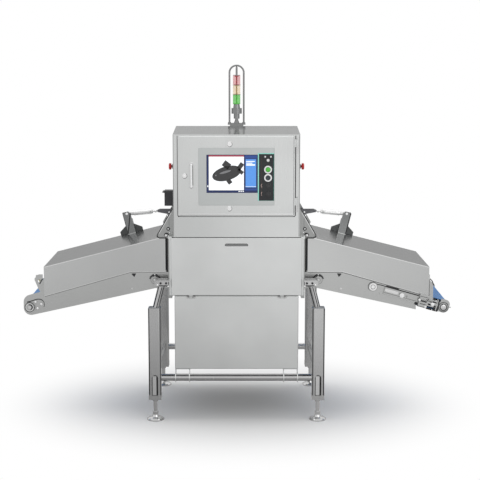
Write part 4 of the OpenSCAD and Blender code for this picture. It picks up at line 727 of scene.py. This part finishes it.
def hinge_fittings():
    """Nuts and washers on the hinge rods and brackets, painted shade along the cheeks' lower edges,
    and a painted highlight along their slanted edges.
    """
    washers, caps, studs, folds, lights = [], [], [], [], []
    for side in BOTH:
        washers.append(facing(turned([(14.5, 0), (14.5, 1.6), (13.5, 2.4), (8, 2.4)], 28),
                              (side * HINGE[0], HINGE[1]), CHEEK_FACE - 0.4))
        washers.append(facing(turned([(11, 0), (11, 2), (9, 3)], 24), (side * 414, 1163),
                              CHEEK_FACE - 0.4))
        caps.append(facing(ball(6.5), (side * 414, 1163), CHEEK_FACE - 3.2))
        caps.append(facing(ball(6, 1), (side * 416, 1243), CHEEK_FACE - 0.6))
        caps.append(facing(ball(5, 1), (side * 405, 1141), CHEEK_FACE - 0.6))
        studs.append(line(mirrored([(409, 1170), (409, 1232)], side), 3, CHEEK_FACE - 0.2,
                          CHEEK_FACE - 1.4))
        folds.append(line(mirrored([(386, 1289), (481.5, 1126), (481.5, 1116), (468, 1107.5),
                                    (426, 1107.5)], side), 4.6, CHEEK_EDGE - 0.2,
                          CHEEK_EDGE - 1.4))
        lights.append(line(mirrored([(395, 1262), (470, 1134)], side), 3.4, CHEEK_FACE - 0.1,
                           CHEEK_FACE - 0.7))
    finished(joined(washers), "hinge_washers", edge_dark, "frame")
    finished(joined(caps), "hinge_caps", polished_white, "frame", 60)
    finished(joined(studs), "cheek_ribs", post_grey, "frame")
    finished(joined(folds), "cheek_folds", edge_dark, "frame")
    finished(joined(lights), "cheek_edges", strut_white, "frame")


def bracket_rivets():
    """Rivets on the fronts of the strut brackets."""
    spots = [(side * x, z) for side in BOTH for x, z in ((440, 1192), (424, 1178))]
    rivet = turned([(5.4, 0), (5.4, 1.2), (4.2, 2), (1.5, 2.2)], 18)
    finished(repeated(rivet, on_front(spots, 262.6)), "bracket_rivets", polished_white, "frame")


# Conveyor sides

def hub_details():
    """Painted shade in the curved slots over the hubs and in the notch above each, with plugged
    holes and a round-headed bolt.
    """
    slots, plugs, caps, rings = [], [], [], []
    notch = [(613, 886), (637, 886), (625, 863)]
    for side in BOTH:
        hub = (side * HUB[0], HUB[1])
        slots.append(round_line(hub, 31, 12, 168, 8, HUB_FACE + 0.4, HUB_FACE - 1.4, 20))
        for x in (-10, 10):
            plugs.append(facing(turned([(6.2, 0), (6.2, 2.6), (4, 3)], 20),
                                (hub[0] + x, hub[1] + 26), HUB_FACE + 0.6))
        caps.append(facing(ball(4.4), (hub[0], hub[1] + 33), HUB_FACE - 1.2))
        slots.append(outline(mirrored(notch, side), PLATE_FACE - 0.1, PLATE_FACE - 1.2))
        for radius, wide, proud, steps in ((24.5, 2.2, 0.5, 28), (13.5, 1.8, 0.6, 24)):
            rings.append(round_line(hub, radius, 0, 360, wide, HUB_FACE + 0.4,
                                    HUB_FACE - proud, steps))
        caps.append(facing(ball(5, 0.5), hub, HUB_FACE - 3.7))
    finished(joined(slots), "hub_slot_rubber", black_plastic, "frame")
    finished(joined(plugs), "hub_hole_plugs", black_plastic, "frame")
    finished(joined(caps), "hub_caps", polished_white, "frame", 60)
    finished(joined(rings), "hub_grooves", groove_grey, "frame")


def head_bar_details():
    """Bolts, painted shade in the gap and under the lower edge, and end plug of the front and rear
    head bars.
    """
    bolts, seams, caps = [], [], []
    for side in BOTH:
        for end, axis in ((-1, "-y"), (1, "+y")):
            for x in (423, 456):
                bolts.append(at(turned([(6.6, 0), (6.6, 1.2), (5.6, 2.0), (3, 2.0)], 20),
                                (side * x, end * (HEAD_BAR + 3.6), 849), axis))
            for left, right, low, high in ((412, 466, 830.5, 837), (407, 410.6, 833, 858)):
                seams.append(between((side * left, end * (HEAD_BAR - 0.2), low),
                                     (side * right, end * (HEAD_BAR + 1.2), high), 0.4, 1))
            for x, z, radius in ((411, 831, 6), (474, 838, 7)):
                caps.append(at(ball(radius), (side * x, end * (HEAD_BAR - 0.1), z), axis))
    finished(joined(bolts), "head_bar_bolts", black_plastic, "frame", 30)
    finished(joined(seams), "head_bar_seams", black_plastic, "frame")
    finished(joined(caps), "head_bar_caps", polished_white, "frame", 60)


def tail_bearing():
    """Rings of the left bearing, painted shade along the edge of its sunk pocket, heavier at the
    top, and the pocket's round bolts.
    """
    back, sunk = BEARING_FACE + 0.3, PLATE_FACE + 1.6
    rings = [round_line(DRIVE, 28.6, 0, 360, 3.4, back, BEARING_FACE - 0.7, 36),
             round_line(DRIVE, 15.2, -70, 110, 5.5, back, BEARING_FACE - 0.5, 20)]
    finished(joined(rings), "bearing_rings", edge_dark, "frame")
    finished(round_line(DRIVE, 22, 0, 360, 2.4, BEARING_FACE + 0.2, BEARING_FACE - 0.4, 32),
             "bearing_rim", polished_white, "frame")
    edge = [(-1290, 700), (-1284, 707.5), (-1262, 713), (-1228, 724)]
    edge += [(POCKET[0] + 33 * math.cos(math.radians(a)), POCKET[1] + 33 * math.sin(math.radians(a)))
             for a in range(100, -31, -13)]
    finished(line(edge[1:9], 5.5, sunk, PLATE_FACE - 0.6), "pocket_edge", black_plastic, "frame")
    finished(line(edge[8:], 3.0, sunk, PLATE_FACE - 0.5), "pocket_edge_low", edge_dark, "frame")
    spots = [(POCKET[0] + x, POCKET[1] + z) for x, z in ((-20, 17), (15, 4), (-8, -22))]
    finished(repeated(ball(7.4), on_front(spots, PLATE_FACE - 4.8)), "pocket_caps", ring_white,
             "frame", 60)


def sensor_details():
    """Eye of the belt sensor and painted shade along the bracket edge beside it."""
    finished(outline([(-1196, 848), (-1211, 848), (-1203, 832)], PLATE_FACE + 1.5,
                     PLATE_FACE - 1.5), "sensor_eye", sensor_amber, "frame")
    front = reach("belt_sensor", LOW, Y)
    finished(line([(-1186, 853), (-1203, 822)], 6, front + 1, front - 0.8), "sensor_shade",
             black_plastic, "frame")


# Belt take-up: what is on the side plate rides the frame, and what is on the arm moves with it

def boss_details():
    """Disc and rings on the boss at the upper end of the take-up, and painted shade around the upper
    side of the boss.
    """
    finished(round_line(BOSS, 28.4, 55, 235, 3.0, PLATE_FACE + 0.2, PLATE_FACE - 3, 24),
             "boss_shade", edge_dark, "frame")
    disc = turned([(26.4, 0), (26.4, 1.2), (25, 2), (11, 2), (10, 1), (8, 1), (7.4, 2.2),
                   (2, 2.4)], 40)
    finished(facing(disc, BOSS, PLATE_FACE - 9.8), "boss_disc", ring_white, "frame", 40)
    finished(joined([round_line(BOSS, radius, 0, 360, wide, PLATE_FACE - 11.6,
                                PLATE_FACE - 12.4, 24)
                     for radius, wide in ((13.5, 2.6), (25.4, 1.8))]), "boss_rings",
             groove_grey, "frame")


def end_edges():
    """Painted shade along the edge of the end guard, end fold of the right hood, and dark plates by
    the housing.
    """
    finished(line([(1182, 853), (1196, 839), (1206, 812)], 6, PLATE_FACE - 0.2,
                  PLATE_FACE - 1.8), "guard_edge", black_plastic, "frame")
    finished(line([(1178.5, 722), (1178.5, 880)], 2.6, -HOOD_SIDE - 0.1, -HOOD_SIDE - 0.8),
             "hood_end_edge", groove_grey, "right_hood")
    shield = on_arm((-62, -26), (-28, -24), (-28, -38), (-62, -39))
    finished(outline(shield, ARM_FACE + 5, ARM_FACE + 3), "take_up_shield", black_plastic,
             "take_up")
    apron = on_arm((-100, -29), (-64, -29), (-64, -40), (-100, -40))
    finished(outline(apron, PLATE_FACE - 0.1, PLATE_FACE - 0.9), "housing_apron",
             black_plastic, "frame")


def guide_seams():
    """Dark seam and slot over the upper guide."""
    for name, wide, proud, points in (
            ("guide_seam_left", 5, 1.4, [(852, 823), *on_arm((-430, 27), (-400, 29), (-372, 28))]),
            ("guide_slot", 12, 2.4, on_arm((-374, 30), (-293, 30))),
            ("guide_seam_right", 5.4, 1.6, on_arm((-293, 28.4), (-165, 28.4)))):
        finished(line(points, wide, PLATE_FACE + 0.3, PLATE_FACE - proud), name,
                 black_plastic, "frame")


def arm_details():
    """Pad, groove and clamp cap of the moving arm."""
    pad = on_arm((-376, 12), (-372, 17), (-296, 17), (-290, 12), (-296, 0), (-368, 0), (-376, 6))
    finished(outline(pad, ARM_FACE + 0.4, ARM_FACE - 1.2), "arm_pad", strut_white, "take_up")
    finished(line(on_arm((-378, -8), (-170, -8)), 2.8, ARM_FACE + 0.3, ARM_FACE - 0.5),
             "arm_groove", groove_grey, "take_up")
    cap = turned([(14.6, 0), (14.6, 2), (12.5, 3.6), (5, 4.2)], 28)
    finished(repeated(cap, on_front(on_arm((-268, 4)), ARM_FACE - 9.4)), "clamp_cap",
             ring_white, "frame", 50)


def housing_details():
    """Grooves, knob and screw heads of the housing over the adjusting screw."""
    stripes = [line(on_arm(*ends), wide, HOUSING_FACE + 0.3, HOUSING_FACE - 0.8)
               for ends, wide in ((((-152, 6), (-112, 6)), 9), (((-150, -12), (-112, -12)), 4),
                                  (((-160, 33), (-108, 33)), 2.6),
                                  (((-160, -30), (-108, -30)), 3),
                                  (((-161, -30), (-161, 30)), 3), (((-110, 12), (-104, 28)), 4))]
    finished(joined(stripes), "housing_stripes", edge_dark, "frame")
    knob = turned([(9, 0), (9, 3), (7.5, 6), (3, 7)], 20)
    finished(facing(knob, on_arm((-171, -22))[0], ARM_FACE), "guide_knob", edge_dark, "frame", 50)
    caps = [facing(ball(radius, 0.6), on_arm((u, v))[0], HOUSING_FACE + 0.2)
            for u, v, radius in ((-158, 8, 8), (-112, -24, 7.5))]
    finished(joined(caps), "housing_caps", ring_white, "frame", 60)


def screw_details():
    """End cap and springs of the adjusting screw."""
    finished(facing(ball(12, 1), on_arm((-74, 2))[0], HOUSING_FACE - 1.2), "screw_cap",
             ring_white, "take_up", 60)
    springs = [line(on_arm(*points), 8, ARM_FACE + 0.2, ARM_FACE - proud)
               for points, proud in ((((-58, 22), (-52, 26), (-46, 21)), 2),
                                     (((-57, -26), (-54, 4), (-57, 18)), 2),
                                     (((-36, -26), (-33, 0), (-36, 30)), 2.4))]
    finished(joined(springs), "screw_spring", black_plastic, "take_up")
    finished(facing(ball(6.5), on_arm((-54, 24))[0], ARM_FACE - 1.6), "spring_cap",
             ring_white, "take_up", 60)


def arm_end_details():
    """Disc, rings and hub at the arm's outer end, around the tail roller's shaft, with a painted
    shadow crescent over the upper side of the disc.
    """
    disc = turned([(31, 0), (31, 0.6), (30, 0.9), (12, 0.9)], 40)
    finished(facing(disc, TAIL, ARM_FACE + 0.2), "arm_end_disc", cheek_steel, "take_up", 40)
    rings = [round_line(TAIL, radius, start, end, wide, ARM_FACE + 0.3, ARM_FACE - proud, steps)
             for radius, start, end, wide, proud, steps in (
                 (19.5, 0, 360, 4, 1.4, 32), (29.6, 0, 360, 2.2, 1.3, 36),
                 (32, 30, 205, 1.6, 0.3, 24))]
    finished(joined(rings), "arm_end_rings", edge_dark, "take_up")
    hub = turned([(16, 0), (16, 1.6), (14, 2.6), (10, 2.6), (9, 1.2), (7.6, 1.2), (7, 3),
                  (2, 3.4)], 32)
    finished(facing(hub, TAIL, ARM_FACE + 0.2), "arm_end_hub", strut_white, "take_up", 40)


# Cabinets, tower and legs

def cabinet_seam_shades():
    """Painted shade in the gaps around the door, heavier on its lower and right sides, and at the
    tunnel seam; dark lines at the cabinet's corners; and along the door's lower fold a painted
    highlight over a painted shade line.
    """
    seam_x, low, high = 351.5, 1256, 1734
    back, front = FASCIA - 0.1, FASCIA - 2
    finished(line([(-349, 1253.4), (349, 1253.4)], 7.0, back, front), "door_seam_low",
             edge_dark, "frame")
    finished(line([(seam_x, low), (seam_x, high)], 5.0, back, front), "door_seam_right",
             edge_dark, "frame")
    finished(joined([line([(374, 1132), (374, 1738)], 3.0, FASCIA + 0.6, FASCIA - 1.0),
                     line([(-375.5, 1132), (-375.5, 1738)], 2.2, FASCIA + 0.6, FASCIA - 0.8)]),
             "cabinet_corners", groove_grey, "frame")
    # Painted highlight along the door's lower fold
    finished(line([(-340, 1268), (338, 1268)], 4.0, DOOR_FACE, DOOR_FACE - 0.6), "door_fold",
             polished_white, "door")
    finished(joined([line([(-340, 1263.4), (340, 1263.4)], 2.6, DOOR_FACE, DOOR_FACE - 0.7),
                     line([(340, 1266), (340, 1732)], 2.4, DOOR_FACE, DOOR_FACE - 0.6)]),
             "door_fold_shade", groove_grey, "door")
    finished(line([(-388, 1125.2), (388, 1125.2)], 3.2, FASCIA + 0.4, FASCIA - 1.4),
             "tunnel_seam", edge_dark, "frame")
    finished(line([(-seam_x, low), (-seam_x, high)], 4.0, back, front), "door_seam_left",
             groove_grey, "frame")


def finger_slot():
    """Painted shade at the back and along the upper lip of the finger slot in the access door, and a
    painted highlight on its lower lip.
    """
    half, mid = 65.6, 1078
    pocket = block((-half, FASCIA + 3.1, mid - 6.2), (half, FASCIA + 4.6, mid + 6.2), 0.4, 1)
    finished(pocket, "slot_lining", post_grey, "tunnel_door")
    finished(line([(-61, mid - 8.6), (61, mid - 8.6)], 3.0, FASCIA, FASCIA - 0.8), "slot_lip",
             polished_white, "tunnel_door")
    finished(line([(-68, mid - 3), (-68, mid + 4), (-61, mid + 8.6), (61, mid + 8.6),
                   (68, mid + 4), (68, mid - 3)], 2.6, FASCIA, FASCIA - 0.9), "slot_brow",
             edge_dark, "tunnel_door")


def rear_details():
    """Service panels, louvres and screws on the backs of the two cabinets."""
    seams, screws, louvres = [], [], []
    upper, lower = reach("upper_cabinet", HIGH, Y), reach("lower_cabinet", HIGH, Y)
    for face, half, low, high in ((upper, 330, 1150, 1700), (lower, 320, 372, 740)):
        ring = [(-half, low), (half, low), (half, high), (-half, high), (-half, low)]
        seams.append(line(ring, 3, face + 0.9, face - 0.3))
        for x in (-half + 22, 0, half - 22):
            screws += [((x, face, z), "+y") for z in (low + 22, high - 22)]
    for x in (-170, 170):
        for step in range(7):
            z = 1560 + 14 * step
            louvres.append(block((x - 55, upper - 0.3, z), (x + 55, upper + 6, z + 7), 2.4, 2))
    finished(joined(seams), "rear_seams", groove_grey, "frame")
    finished(repeated(turned([(6.5, 0), (6.5, 1.4), (5, 3), (2.6, 3.2), (2.2, 2)], 20), screws),
             "rear_screws", bright_steel, "frame")
    finished(joined(louvres), "rear_louvres", side_steel, "frame")


def tower_core():
    """Post and lamp carriers inside the clear lenses of the light tower."""
    low, top = reach("lamp_green", LOW, Z), reach("lamp_red", HIGH, Z)
    joints = (reach("lamp_amber", LOW, Z), reach("lamp_red", LOW, Z))
    foot = (0, middle("lamp_green", Y), 0)
    steps = [(19, low + 0.4), (19, low + 4), (4.5, low + 5)]
    for joint in joints:
        steps += [(4.5, joint - 5), (12, joint - 4), (19.5, joint - 1), (19.5, joint + 1),
                  (12, joint + 4), (4.5, joint + 5)]
    steps += [(4.5, top - 9), (12, top - 7), (12, top - 1)]
    finished(at(turned(steps, 28), foot), "lamp_core", wing_dark, "frame", 30)
    rings = [at(turned([(24.0, z), (24.6, z + 0.6), (24.6, z + 1.6), (24.0, z + 2.2)], 36), foot)
             for z in (joint - 1.1 for joint in joints)]
    finished(joined(rings), "lamp_rings", tower_steel, "frame", 30)


def leg_details():
    """Dark reflections painted at the corners of the square legs and along the round props, a
    painted shade line beside the slot, the slot's inner plate, and caps.
    """
    round_centre, round_radius, prop_radius = 26, 11.3, 20.4
    corner = round_centre + round_radius * math.cos(math.radians(45))
    corner_reflections, soft, plates, caps, seams = [], [], [], [], []
    for side in BOTH:
        for end in BOTH:
            leg_x, leg_y = side * LEG_X, end * LEG_Y
            for way, store in ((1, corner_reflections), (-1, soft)):
                x = side * (LEG_X + way * corner)
                y = end * (LEG_Y + corner)
                store.append(bar((x, y, 160), (x, y, 697), 9, 0.7, 0, (side * way, -end, 0)))
            low, high = sorted((end * (LEG_Y + 33.4), end * (LEG_Y + 35.4)))
            plates.append(block((leg_x - 15, low, 161), (leg_x + 9, high, 279), 0.6, 1))
            seams.append(line([(leg_x + 13.5, 162), (leg_x + 13.5, 276)], 5, high - 0.6, low))
            cap = turned([(46.8, 0), (46.8, 1.2), (44, 2)], 4)
            cap.rotation_euler = (0, 0, math.radians(45))
            cap.location = mm(leg_x, leg_y, 698)
            settle(cap)
            caps.append(cap)
            foot = Vector((side * 487, leg_y, 700))
            top = Vector((side * 453, leg_y, 826))
            along = (top - foot).normalized()
            across = Vector((along.z, 0, -along.x))
            for shift, wide in ((-13.6, 6), (5, 5), (15.6, 4)):
                depth = math.sqrt(prop_radius ** 2 - shift ** 2) * end
                offset = across * shift + Vector((0, depth, 0))
                seams.append(bar(foot + offset, top + offset, wide, 0.8, 0,
                                 (across.x, -end * shift / prop_radius, across.z)))
    finished(joined(corner_reflections), "leg_beads", edge_dark, "frame")
    finished(joined(soft), "leg_beads_inner", groove_grey, "frame")
    finished(joined(plates), "leg_slot_plates", strut_white, "frame")
    finished(joined(caps), "leg_caps", coat_grey, "frame")
    finished(joined(seams), "leg_seams", edge_dark, "frame")


def cross_tube_lines():
    """Reflected edges along the two cross tubes."""
    radius, tube_z = 21.2, middle("cross_tubes", Z)
    lines = []
    for end in BOTH:
        for turn in (40, -50):
            rise, out = math.sin(math.radians(turn)), math.cos(math.radians(turn))
            y, z = end * (LEG_Y + radius * out), tube_z + radius * rise
            lines.append(bar((-456, y, z), (456, y, z), 8, 0.7, 0, (0, -end * rise, out)))
    finished(joined(lines), "cross_tube_lines", edge_dark, "frame")


def seam_z(x):
    """Height of the seam under a hood."""
    return 893.4 - max(0.0, x - 642) * math.tan(math.radians(15.9))


def fold_z(x):
    """Height of the fold between a hood's side and its roof."""
    return 1116.6 - (x - 433) * math.tan(HOOD_SLOPE)


def hood_seams():
    """Painted shade in the seam under each hood, heavier on the right, a painted highlight along the
    fold of its roof, and a painted highlight on the lips of its sides.
    """
    for side, word in SIDES:
        points = [(x, seam_z(x)) for x in (434, 642, 1174)]
        finish = edge_dark if side > 0 else groove_grey
        finished(joined([line(mirrored(points, side), 3.0 if side > 0 else 2.2,
                              end * (PLATE_SIDE + 0.3), end * (PLATE_SIDE + 1.6))
                         for end in BOTH]), "hood_seam_" + word, finish, "frame")
        fold = [(x, fold_z(x) - 3.2) for x in (436, 1172)]
        lip = [(x, seam_z(x) + 5.6) for x in (436, 642, 1172)]
        for name, points, wide, proud, finish in (("hood_fold_", fold, 2.4, 0.9, polished_white),
                                                  ("hood_lip_", lip, 2.2, 0.7, strut_white)):
            finished(joined([line(mirrored(points, side), wide, end * (HOOD_SIDE + 0.1),
                                  end * (HOOD_SIDE + proud)) for end in BOTH]),
                     name + word, finish, word + "_hood")


def collar_covers():
    """Painted shade on the side collars of the tunnel: a darker steel strip over each and a dark
    line along its inner edge.
    """
    collar, low, high = 345, 790, 1106
    strips, lines = [], []
    for side in BOTH:
        for end in BOTH:
            strips.append(between((side * 393.4, end * (collar + 0.1), low),
                                  (side * 413.6, end * (collar + 0.9), high)))
            lines.append(line([(side * 395.4, low), (side * 395.4, high)], 3.4,
                              end * (collar + 0.8), end * (collar + 1.6)))
    finished(joined(strips), "collar_covers", cheek_steel, "frame")
    finished(joined(lines), "collar_lines", edge_dark, "frame")


def hinge_shades():
    """Painted shade in the gaps of the access door's hinges under its lower edge."""
    shades = []
    for side in BOTH:
        shades.append(line([(side * 249, 767.2), (side * 301, 767.2)], 2.4, FASCIA - 0.2,
                           FASCIA - 1.0))
        for x in (262.5, 287.5):
            shades.append(line([(side * x, 755), (side * x, 765)], 2.2, FASCIA + 0.4,
                               FASCIA - 0.6))
    finished(joined(shades), "access_hinge_shades", edge_dark, "frame")


screen_picture()
fish_scan()
strip_edges()
strip_lights()
panel_buttons()
door_fittings()
hood_posts()
strut_sleeves()
hinge_fittings()
bracket_rivets()
hub_details()
head_bar_details()
tail_bearing()
sensor_details()
boss_details()
end_edges()
guide_seams()
arm_details()
housing_details()
screw_details()
arm_end_details()
cabinet_seam_shades()
finger_slot()
rear_details()
tower_core()
leg_details()
cross_tube_lines()
hood_seams()
collar_covers()
hinge_shades()


# Studio

FOCAL_PX = 1255
SENSOR_MM = 36
FRAME_PX = 480
CAMERA_PLACE = (0.021, -7.841, 2.234)
CAMERA_DIP = 8.6
ROOM_LIGHT = 0.78


def fade(tree, value, start, end, low, high):
    """Smooth step from low to high between two values."""
    ramp = tree.nodes.new("ShaderNodeMapRange")
    ramp.interpolation_type = "SMOOTHSTEP"
    ramp.inputs["From Min"].default_value = start
    ramp.inputs["From Max"].default_value = end
    ramp.inputs["To Min"].default_value = low
    ramp.inputs["To Max"].default_value = high
    tree.links.new(value, ramp.inputs["Value"])
    return ramp.outputs["Result"]


def combined(tree, how, first, second):
    """Two numbers or sockets joined by a Math node."""
    node = tree.nodes.new("ShaderNodeMath")
    node.operation = how
    for socket, value in zip(node.inputs, (first, second)):
        if isinstance(value, float):
            socket.default_value = value
        else:
            tree.links.new(value, socket)
    return node.outputs[0]


def studio():
    """Pale floor: white far out; close to the machine a painted shadow darkens its colour, and where
    steel mirrors it the floor glows with a painted tone, darker near and behind the machine.
    """
    fresh()
    bpy.ops.mesh.primitive_circle_add(vertices=96, radius=14, fill_type="NGON", location=(0, 0, 0))
    floor = bpy.context.object
    floor.name = "studio_floor"
    finish = bpy.data.materials.new("studio_floor")
    finish.use_nodes = True
    tree = finish.node_tree
    tree.nodes.clear()
    out = tree.nodes.new("ShaderNodeOutputMaterial")
    diffuse = tree.nodes.new("ShaderNodeBsdfDiffuse")
    white = tree.nodes.new("ShaderNodeEmission")
    mirrored = tree.nodes.new("ShaderNodeEmission")
    place = tree.nodes.new("ShaderNodeTexCoord")
    stretch = tree.nodes.new("ShaderNodeMapping")
    stretch.inputs["Scale"].default_value = (0.80, 0.95, 1.0)
    length = tree.nodes.new("ShaderNodeVectorMath")
    length.operation = "LENGTH"
    split = tree.nodes.new("ShaderNodeSeparateXYZ")
    rays = tree.nodes.new("ShaderNodeLightPath")
    tree.links.new(place.outputs["Object"], stretch.inputs["Vector"])
    tree.links.new(stretch.outputs["Vector"], length.inputs[0])
    tree.links.new(place.outputs["Object"], split.inputs[0])
    far = fade(tree, length.outputs["Value"], 0.42, 1.30, 0.0, 1.0)
    # Painted shadow: the floor's colour is darker close to the machine
    middle = fade(tree, length.outputs["Value"], 0.05, 0.60, 0.60, 0.84)
    tree.links.new(middle, diffuse.inputs["Color"])
    # Painted reflection: the glow seen in steel is dimmer close to the machine and behind it
    near = fade(tree, length.outputs["Value"], 0.3, 4.4, 0.48, 1.0)
    across = combined(tree, "MULTIPLY", fade(tree, split.outputs["X"], -0.9, 0.9, 0.76, 1.10),
                      combined(tree, "MULTIPLY",
                               fade(tree, split.outputs["X"], -2.6, -0.9, 1.16, 0.96),
                               fade(tree, split.outputs["X"], 0.5, 1.7, 1.0, 0.82)))
    behind = fade(tree, split.outputs["Y"], 0.2, 2.4, 1.0, 0.42)
    tone = combined(tree, "MULTIPLY", combined(tree, "MULTIPLY", near, across), behind)
    tree.links.new(tone, mirrored.inputs["Strength"])
    seen = tree.nodes.new("ShaderNodeMixShader")
    tree.links.new(combined(tree, "MULTIPLY", far, rays.outputs["Is Camera Ray"]),
                   seen.inputs["Fac"])
    tree.links.new(diffuse.outputs[0], seen.inputs[1])
    tree.links.new(white.outputs[0], seen.inputs[2])
    mix = tree.nodes.new("ShaderNodeMixShader")
    tree.links.new(rays.outputs["Is Glossy Ray"], mix.inputs["Fac"])
    tree.links.new(seen.outputs[0], mix.inputs[1])
    tree.links.new(mirrored.outputs[0], mix.inputs[2])
    tree.links.new(mix.outputs[0], out.inputs["Surface"])
    floor.data.materials.append(finish)


def surroundings():
    """White room with a grey wall behind the machine; the camera and glass see plain white."""
    world = bpy.data.worlds.new("studio")
    bpy.context.scene.world = world
    world.use_nodes = True
    tree = world.node_tree
    tree.nodes.clear()
    out = tree.nodes.new("ShaderNodeOutputWorld")
    soft = tree.nodes.new("ShaderNodeBackground")
    soft.inputs["Strength"].default_value = ROOM_LIGHT
    mirrored = tree.nodes.new("ShaderNodeBackground")
    white = tree.nodes.new("ShaderNodeBackground")
    for node in (soft, mirrored, white):
        node.inputs["Color"].default_value = (1, 1, 1, 1)
    rays = tree.nodes.new("ShaderNodeLightPath")
    place = tree.nodes.new("ShaderNodeTexCoord")
    split = tree.nodes.new("ShaderNodeSeparateXYZ")
    tree.links.new(place.outputs["Generated"], split.inputs[0])
    wall = combined(tree, "MULTIPLY", fade(tree, split.outputs["Y"], 0.0, 0.72, 0.0, 1.0),
                    fade(tree, split.outputs["Z"], 0.02, 0.56, 1.0, 0.0))
    shade = fade(tree, wall, 0.0, 1.0, 0.94, 0.38)
    tree.links.new(shade, mirrored.inputs["Strength"])
    glossy = tree.nodes.new("ShaderNodeMixShader")
    tree.links.new(rays.outputs["Is Glossy Ray"], glossy.inputs["Fac"])
    tree.links.new(soft.outputs[0], glossy.inputs[1])
    tree.links.new(mirrored.outputs[0], glossy.inputs[2])
    mix = tree.nodes.new("ShaderNodeMixShader")
    tree.links.new(combined(tree, "MAXIMUM", rays.outputs["Is Camera Ray"],
                            rays.outputs["Is Transmission Ray"]), mix.inputs["Fac"])
    tree.links.new(glossy.outputs[0], mix.inputs[1])
    tree.links.new(white.outputs[0], mix.inputs[2])
    tree.links.new(mix.outputs[0], out.inputs["Surface"])


def softbox(name, place, aim, size, power):
    """Rectangular studio lamp that points at a place."""
    data = bpy.data.lights.new(name, "AREA")
    data.shape = "RECTANGLE"
    data.size = size[0]
    data.size_y = size[1]
    data.energy = power
    lamp = bpy.data.objects.new(name, data)
    bpy.context.scene.collection.objects.link(lamp)
    lamp.location = place
    lamp.rotation_euler = (Vector(aim) - Vector(place)).to_track_quat("-Z", "Y").to_euler()


def photographer():
    """Camera in front of the machine, a little above it."""
    data = bpy.data.cameras.new("camera")
    data.lens = SENSOR_MM * FOCAL_PX / FRAME_PX
    data.sensor_width = SENSOR_MM
    camera = bpy.data.objects.new("camera", data)
    bpy.context.scene.collection.objects.link(camera)
    camera.location = CAMERA_PLACE
    camera.rotation_euler = (math.radians(90 - CAMERA_DIP), 0, 0)
    bpy.context.scene.camera = camera


studio()
surroundings()
softbox("top_light", (0, 0.9, 5.0), (0, -0.2, 0.6), (6.4, 4.2), 78)
softbox("front_light", (3.0, -6.0, 3.4), (0, 0, 1.2), (3.8, 3.8), 48)
photographer()
bpy.context.scene.view_settings.view_transform = "Standard"
